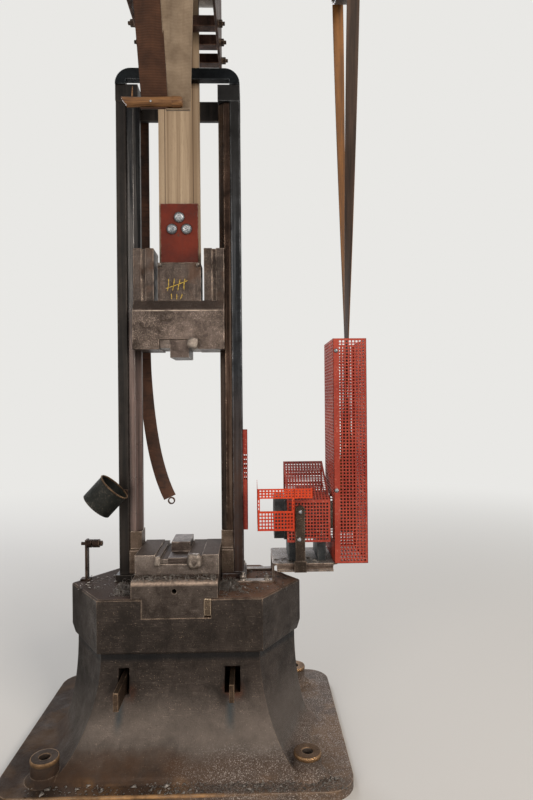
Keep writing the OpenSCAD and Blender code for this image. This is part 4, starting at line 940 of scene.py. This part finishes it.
# The fan guard wraps round the fan end, with a window in front under a band that runs on past
# it to the right.
(x0, y0, z0), (x1, y1, z1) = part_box("fan_guard")
jamb, window_low, window_high, band_end = 0.012, z1 - 0.104, z1 - 0.046, 0.606
thin = (0.003, 0.003, 0.003, 0.003)
back_to = motor_guard_front - y0
punched_piece("fan_guard", [
    punched_panel((x0, y0, z0), (x1 - x0, 0, 0), (0, 0, window_low - z0)),
    punched_panel((x0, y0, window_high), (band_end - x0, 0, 0), (0, 0, z1 - window_high),
                  (edge_strip, edge_strip, 0.004, 0.004), hole=0.5),
    punched_panel((x0, y0, window_low), (jamb, 0, 0), (0, 0, window_high - window_low), thin),
    punched_panel((x1 - jamb, y0, window_low), (jamb, 0, 0), (0, 0, window_high - window_low), thin),
    punched_panel((x1, y0, z0), (0, back_to, 0), (0, 0, z1 - z0)),
    punched_panel((x0, y1, z0), (0, y0 - y1, 0), (0, 0, z1 - z0)),
    punched_panel((band_end, y0, window_high), (0, back_to, 0), (0, 0, z1 - window_high)),
], fan_paint)

# The guard at the right column has three faces with upright slots between plain ends.
(x0, y0, z0), (x1, y1, z1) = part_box("column_guard")
slots = {"margin": (0.002, 0.002, 0.242, 0.115), "pitch": (0.0095, 0.022), "hole": 0.6}
punched_piece("column_guard", [
    punched_panel((x0, y0, z0), (x1 - x0, 0, 0), (0, 0, z1 - z0), **slots),
    punched_panel((x1, y0, z0), (0, y1 - y0, 0), (0, 0, z1 - z0), **slots),
    punched_panel((x1, y1, z0), (x0 - x1, 0, 0), (0, 0, z1 - z0), **slots),
], guard_paint)

# Screws of the guards, and the strap bar that holds the motor guard to the shelf.
strap_iron = iron("strap_iron", "241D18", "463A30", "8E7E70", "5E5147", metal=0.6, rough=0.48, speck=0.4)
dress(strap_iron, "guard_strap")
screw = [(0.0105, 0), (0.0105, 0.0015), (0.0085, 0.0042), (0.0035, 0.0058), (0, 0.006)]
screws = [turned(screw, at, (0, -1, 0), 20) for at in (
    (0.724, -0.098, 1.83), (0.722, -0.098, 1.17), (0.5485, -0.096, 1.07), (0.5435, -0.096, 0.94))]
mesh_piece("guard_screws", screws, "frame", zinc)


# Drive belt. A flat leather belt, tan on its flesh side and dark on its grain side, crossed so
# that each run turns over once; where the runs meet they pass each other on edge.
belt_leather, tree, shader = new_material("belt_leather", roughness=0.6, specular_ior_level=0.3)
where = node(tree, "UVMap", uv_map="run")[0]
ply = noise(tree, node(tree, "Mapping", {"Vector": where, "Scale": (30, 2.2, 1)})[0], 1, 5, 0.6)
flesh = mix(tree, ramp(tree, ply, 0.34, 0.68), "54361B", "8C5E30")
grained = mix(tree, ramp(tree, ply, 0.34, 0.68), "2C221C", "574438")
tone = mix(tree, node(tree, "Attribute", attribute_name="flesh_side")["Fac"], grained, flesh)
tone = mix(tree, blotches(tree, where, 60, 5, 0.7, 0.55, 0.7, 0, 0.5), tone, "3A281C")
lay(tree, shader, tone, noise(tree, where, 300, 3, 0.6), 0.25, 0.001)

belt_x, belt_w, belt_t = middle_of("drive_pulley")[0], 0.058, 0.006
pass_gap, pass_length = 0.002, 0.12
low, low_r, low_steps = np.array([motor_y, motor_z]), 0.0803, 40
high, high_r, high_steps = np.array([drive_y, roll_z]), 0.2653, 64
line = high - low
dist = np.linalg.norm(line)
up = line / dist
right = np.array([up[1], -up[0]])
swing = math.asin((low_r + high_r + belt_t) / dist)
meet = (low_r + belt_t / 2) / (low_r + high_r + belt_t)


def wheel_arc(centre, r, a0, a1, count):
    """Points on the belt's middle round a wheel, angles from the wheel line's right hand."""
    a = np.linspace(a0, a1, count)
    return centre + (r + belt_t / 2) * (np.cos(a)[:, None] * right + np.sin(a)[:, None] * up)


def belt_run(start, end, share, side, count=70):
    """A straight run that turns half round: the turn reaches a quarter at share of the way,
    where it steps aside by its thickness to pass the other run. side is +1 or -1."""
    t = np.linspace(0, 1, count)[1:-1]
    turn = np.where(t < share, t / share * math.pi / 2, math.pi / 2 + (t - share) / (1 - share) * math.pi / 2)
    aside = side * (belt_t + pass_gap) / 2 * np.exp(-(((t - share) * dist / pass_length) ** 2))
    points = start + t[:, None] * (end - start)
    return points, side * turn, aside


arc_low = wheel_arc(low, low_r, math.pi - swing, 2 * math.pi + swing, low_steps)
arc_high = wheel_arc(high, high_r, -swing, math.pi + swing, high_steps)
up_run, up_turn, up_aside = belt_run(arc_low[-1], arc_high[-1], meet, 1)
down_run, down_turn, down_aside = belt_run(arc_high[0], arc_low[0], 1 - meet, -1)
loop = np.concatenate([arc_low, up_run, arc_high[::-1], down_run])
twist = np.concatenate([np.zeros(low_steps), up_turn, np.full(high_steps, math.pi),
                        math.pi - np.abs(down_turn)])
aside = np.concatenate([np.zeros(low_steps), up_aside, np.zeros(high_steps), down_aside])
centre = np.stack([belt_x + aside, loop[:, 0], loop[:, 1]], -1)
run = np.roll(centre, -1, 0) - np.roll(centre, 1, 0)
run /= np.linalg.norm(run, axis=1)[:, None]
plane = np.cross(run, (1.0, 0, 0))
across = np.cos(twist)[:, None] * np.array([1.0, 0, 0]) + np.sin(twist)[:, None] * plane
across /= np.linalg.norm(across, axis=1)[:, None]
points, uv, _ = ribbon(np.concatenate([centre, centre[:1]]), np.concatenate([across, across[:1]]),
                       belt_w, belt_t)
drive_belt = mesh_piece("drive_belt_leather", [(points, False, True)], "frame", belt_leather,
                        uv=uv)
flesh_side = drive_belt.data.attributes.new("flesh_side", "FLOAT", "POINT")
is_flesh = np.arange(section_points) >= section_points // 2
flesh_side.data.foreach_set("value", np.tile(is_flesh, len(points)).astype(float))
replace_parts(drive_belt, "drive_belt")


# Hanging belts. Two old belts hang over a bar in front of the roll box, a brown ribbed one and a
# pale woven one, and their ends are nailed behind a wooden stick.
def webbing(name, dark, light, ribs, soil):
    """Woven belting: ribs across the belt every ribs metres, fine threads along it, stains."""
    material, tree, shader = new_material(name, roughness=0.9, specular_ior_level=0.15, sheen_weight=0.15)
    where = node(tree, "UVMap", uv_map="run")[0]
    waves = times(tree, reading(tree, where, "Y"), 2 * math.pi / ribs)
    rib = node(tree, "Math", {0: waves}, operation="SINE")[0]
    thread = noise(tree, node(tree, "Mapping", {"Vector": where, "Scale": (900, 60, 1)})[0], 1, 2, 0.5)
    long_mark = noise(tree, node(tree, "Mapping", {"Vector": where, "Scale": (38, 1.6, 1)})[0], 1, 4, 0.6)
    tone = mix(tree, blotches(tree, where, 7, 6, 0.65, 0.35, 0.66), dark, light)
    tone = mix(tree, ramp(tree, rib, -0.2, -1.0, 0, 0.3), tone, soil)
    tone = mix(tree, ramp(tree, thread, 0.5, 0.7, 0, 0.25), tone, dark)
    tone = mix(tree, ramp(tree, long_mark, 0.54, 0.72, 0, 0.45), tone, soil)
    lay(tree, shader, tone, plus(tree, rib, thread), 0.3, 0.0012)
    return material


(stick_x, _, stick_low), (stick_end, _, _) = box_of("belt_stick")
hang_y, bar_z, bar_r, stick_r = middle_of("belt_stick")[1], middle_of("belt_hanger")[2], 0.02, 0.022
stick_z = stick_low + stick_r


def hung_belt(node_name, top, bottom, lift, material):
    """A belt over the bar: up behind it, half a turn over, down to the stick and a quarter turn
    under it. top and bottom are the left and right edges there; edges between them are straight,
    with a slow ripple across. lift is its distance from the bar's skin."""
    r, s = bar_r + lift, stick_r + lift
    behind = np.linspace(bar_z - 0.09, bar_z - 0.004, 6)
    over, under = np.linspace(0, math.pi, 14), np.linspace(0, -math.pi * 0.55, 9)
    y = np.concatenate([0 * behind + hang_y + r, hang_y + r * np.cos(over),
                        np.linspace(hang_y - r, hang_y + s, 60)[1:-1], hang_y + s * np.cos(under)])
    z = np.concatenate([behind, bar_z + r * np.sin(over), np.linspace(bar_z, stick_z, 60)[1:-1],
                        stick_z + s * np.sin(under)])
    drop = np.clip((bar_z - z) / (bar_z - stick_z), 0, 1)
    drop[:len(behind) + len(over)] = 0
    left, right = (top[k] + (bottom[k] - top[k]) * drop for k in (0, 1))
    v = np.linspace(0, 1, 22)
    x = left[:, None] + (right - left)[:, None] * v
    ripple = 0.004 * np.sin(v * 7 + 2 * drop[:, None]) * np.sin(math.pi * drop)[:, None]
    points = np.stack([x, y[:, None] + ripple, z[:, None] + 0 * x], -1)
    step = np.hypot(np.diff(y), np.diff(z))
    length = np.concatenate([[0], np.cumsum(step)])
    uv = np.stack([x - x.mean(), length[:, None] + 0 * x], -1)
    piece = mesh_piece(node_name + "_cloth", [(points, False, False)], "frame", material, uv=uv)
    skin = piece.modifiers.new("thickness", "SOLIDIFY")
    skin.thickness, skin.offset = 0.0045, 0.0
    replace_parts(piece, node_name)


brown_webbing = webbing("brown_webbing", "322017", "503526", 0.011, "241812")
pale_webbing = webbing("pale_webbing", "6C5D4D", "91816E", 0.006, "574738")
hung_belt("brown_belt", (-0.18, -0.054), (-0.14, -0.026), 0.003, brown_webbing)
hung_belt("pale_belt", (-0.059, 0.099), (-0.032, 0.071), 0.0095, pale_webbing)


# Stick. A shaved branch with one end cut on the slant, a turned collar near the other, a nail
# through it and a splinter standing up.
stick_grain, tree, shader = new_material("stick_grain", roughness=0.55, specular_ior_level=0.3)
grain = noise(tree, stretched(tree, (7, 160, 160)), 1, 5, 0.6)
knots = noise(tree, stretched(tree, (60, 60, 60)), 1, 6, 0.7)
tone = mix(tree, ramp(tree, grain, 0.36, 0.66), "4E321D", "86603A")
tone = mix(tree, ramp(tree, knots, 0.58, 0.7, 0, 0.5), tone, "52361F")
lay(tree, shader, tone, grain, 0.4, 0.002)

cut_depth = 0.016
u = np.linspace(0, 1, 60)
a = np.linspace(0, 2 * math.pi, 32, endpoint=False)
collar = np.where((u > 0.82) & (u < 0.96), 0.0025, 0)
girth = 0.0205 + 0.0012 * np.sin(9 * u + 1) + collar
girth[[0, 1, -2, -1]] = 0.0, 0.017, 0.0185, 0.0
ring_y, ring_z = girth[:, None] * np.cos(a), girth[:, None] * np.sin(a)
cut = np.clip(1 - u * 9, 0, 1)[:, None]
x = (stick_x + (stick_end - stick_x) * u)[:, None] - cut * (ring_z * 0.9) + cut_depth * cut
points = np.stack([x, hang_y + ring_y, stick_z + ring_z], -1)
points[1:-1] = lumps(points[1:-1], 0.03, 0.0009, 12)
stick = mesh_piece("stick_wood", [(points, False, True)], "frame", stick_grain)
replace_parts(stick, "belt_stick")
nail = turned([(0.0045, 0), (0.0045, 0.002), (0.003, 0.0028), (0, 0.003)], (-0.093, -0.3512, 2.875),
              (0, -1, 0), 16)
spike = turned([(0.0035, -0.01), (0.003, 0.02), (0.0022, 0.045), (0, 0.052)], (-0.176, hang_y, 2.9),
               (0.05, 0, 1), 10)
mesh_piece("stick_nail", [nail], "frame", zinc)
mesh_piece("stick_splinter", [spike], "frame", stick_grain)


# Lubricant can and tong rest. A sooty sheet steel can with a beaded rim hangs tilted on the left
# column, and a short stand with a roller stands on the left of the anvil head.
can_steel = iron("can_steel", "131412", "2E302D", "8A7F74", "574A3F", metal=0.6, rough=0.5, speck=0.35)
rest_steel = iron("rest_steel", "1D1511", "3C2E27", "8A7464", "5A4B41", rough=0.5, speck=0.35)
dress(can_steel, "lubricant_can")
dress(rest_steel, "tong_rest", "can_bracket")
can_middle, can_half, can_tilt = middle_of("lubricant_can"), 0.062, math.radians(43)
can_axis = np.array([math.sin(can_tilt), 0, math.cos(can_tilt)])
bead = [(0.0745, -0.004), (0.0795, -0.003), (0.081, 0.0005), (0.079, 0.003), (0.0755, 0.003), (0.074, 0.0),
        (0.0745, -0.004)]
can_bead = turned(bead, can_middle + can_axis * can_half, can_axis, 64)
mesh_piece("can_rim", [can_bead], "frame", rim_iron)


# Forge scale. Loose flakes of burnt iron lie round the die holder, on the anvil head, on the
# shelf and over the front of the plate. Each is a low pyramid over four uneven corners.
scale_steel = iron("scale_steel", "5D5751", "A39C95", "D9D2CB", "CFC8C1", metal=0.45, rough=0.4, wear=0.0)
rng = np.random.default_rng(41)
shelf_top, lying = box_of("motor_shelf")[1][2], 0.0005


def strewn(fields):
    """Points strewn at random over fields: X from and to, Y from and to, Z and how many."""
    return np.concatenate([np.column_stack([rng.uniform(x0, x1, n), rng.uniform(y0, y1, n), np.full(n, z)])
                           for x0, x1, y0, y1, z, n in fields])


on_head, on_sow, on_shelf, on_plate = (z + lying for z in (head_top, sow_top, shelf_top, plate_top))
spots = strewn([(0.17, 0.27, -0.15, 0.05, on_head, 420), (-0.32, -0.21, -0.22, 0.0, on_head, 220),
                (-0.2, 0.16, -0.235, -0.17, on_sow, 200), (0.25, 0.48, -0.2, 0.14, on_head, 260),
                (-0.5, -0.3, -0.12, 0.1, on_head, 120), (0.43, 0.7, -0.08, 0.02, on_shelf, 160),
                (-0.1, 0.7, -0.52, -0.44, on_plate, 700), (-0.6, -0.1, -0.52, -0.45, on_plate, 140)])
count = len(spots)
size = rng.gamma(2.2, 0.0016, count) + 0.0012
angle = rng.uniform(0, 2 * math.pi, (count, 1)) + np.sort(rng.uniform(0, 2 * math.pi, (count, 4)), axis=1)
reach = size[:, None] * rng.uniform(0.6, 1.3, (count, 4))
lift = size[:, None] * rng.uniform(0, 0.5, (count, 4))
around = spots[:, None] + np.stack([reach * np.cos(angle), reach * np.sin(angle), lift - 0.0004], -1)
tip = spots + np.column_stack([0 * size, 0 * size, size * rng.uniform(0.2, 0.8, count)])
foot = np.arange(count)[:, None] * 4 + np.arange(4)
top = np.broadcast_to(4 * count + np.arange(count)[:, None], foot.shape)
sides = np.stack([foot, np.roll(foot, -1, 1), top], -1).reshape(-1, 3)
flake_mesh = bpy.data.meshes.new("forge_scale")
flake_mesh.from_pydata(np.concatenate([around.reshape(-1, 3), tip]).tolist(), [],
                       sides.tolist() + foot[:, ::-1].tolist())
new_piece("forge_scale", flake_mesh, "frame", scale_steel)


# Curls. Thin bright strips of burnt iron: each is part of a screw line whose radius grows along
# it, in a frame turned at random, and it lies loose on what is below it.
bed = head_top + 0.0002
spots = strewn([(-0.2, 0.16, -0.262, -0.238, sow_top, 60), (0.165, 0.24, -0.17, 0.0, bed, 120),
                (-0.31, -0.225, -0.22, -0.02, bed, 90), (0.18, 0.34, -0.24, -0.12, bed, 34),
                (-0.2, 0.15, -0.1, 0.2, sow_top, 6)])
n, steps = len(spots), 9
t = np.linspace(0, 1, steps)[None, :]
turns = rng.uniform(0, 2 * math.pi, (n, 1)) + t * rng.uniform(1.5, 6.5, (n, 1))
radius = rng.uniform(0.003, 0.013, (n, 1)) * (1 + 0.5 * t)
pitch = rng.uniform(0.002, 0.012, (n, 1)) * t
turned_frame = np.linalg.qr(rng.normal(size=(n, 3, 3)))[0]
e1, e2, e3 = (turned_frame[:, None, :, k] for k in range(3))
out = np.cos(turns)[..., None] * e1 + np.sin(turns)[..., None] * e2
line = radius[..., None] * out + pitch[..., None] * e3
half = rng.uniform(0.0008, 0.0022, (n, 1, 1)) * np.sin(math.pi * (0.12 + 0.76 * t))[..., None]
half_t = 0.00025
ring = np.stack([line + i * half * e3 + j * half_t * out for i, j in ((1, 1), (-1, 1), (-1, -1), (1, -1))], 2)
ring[..., 2] -= ring[..., 2].min(axis=(1, 2))[:, None, None]
ring += spots[:, None, None, :]
start = np.arange(n)[:, None] * steps * 4 + np.arange(steps - 1)[None, :] * 4
sides = np.stack([np.stack([start + k, start + m, start + 4 + m, start + 4 + k], -1)
                  for k, m in ((0, 1), (1, 2), (2, 3), (3, 0))], 2)
ends = np.concatenate([start[:, :1] + np.array([[3, 2, 1, 0]]), start[:, -1:] + 4 + np.array([[0, 1, 2, 3]])])
curl_mesh = bpy.data.meshes.new("curls")
curl_mesh.from_pydata(ring.reshape(-1, 3).tolist(), [], sides.reshape(-1, 4).tolist() + ends.tolist())
turn_outwards(curl_mesh)
new_piece("curls", curl_mesh, "frame", scale_steel)
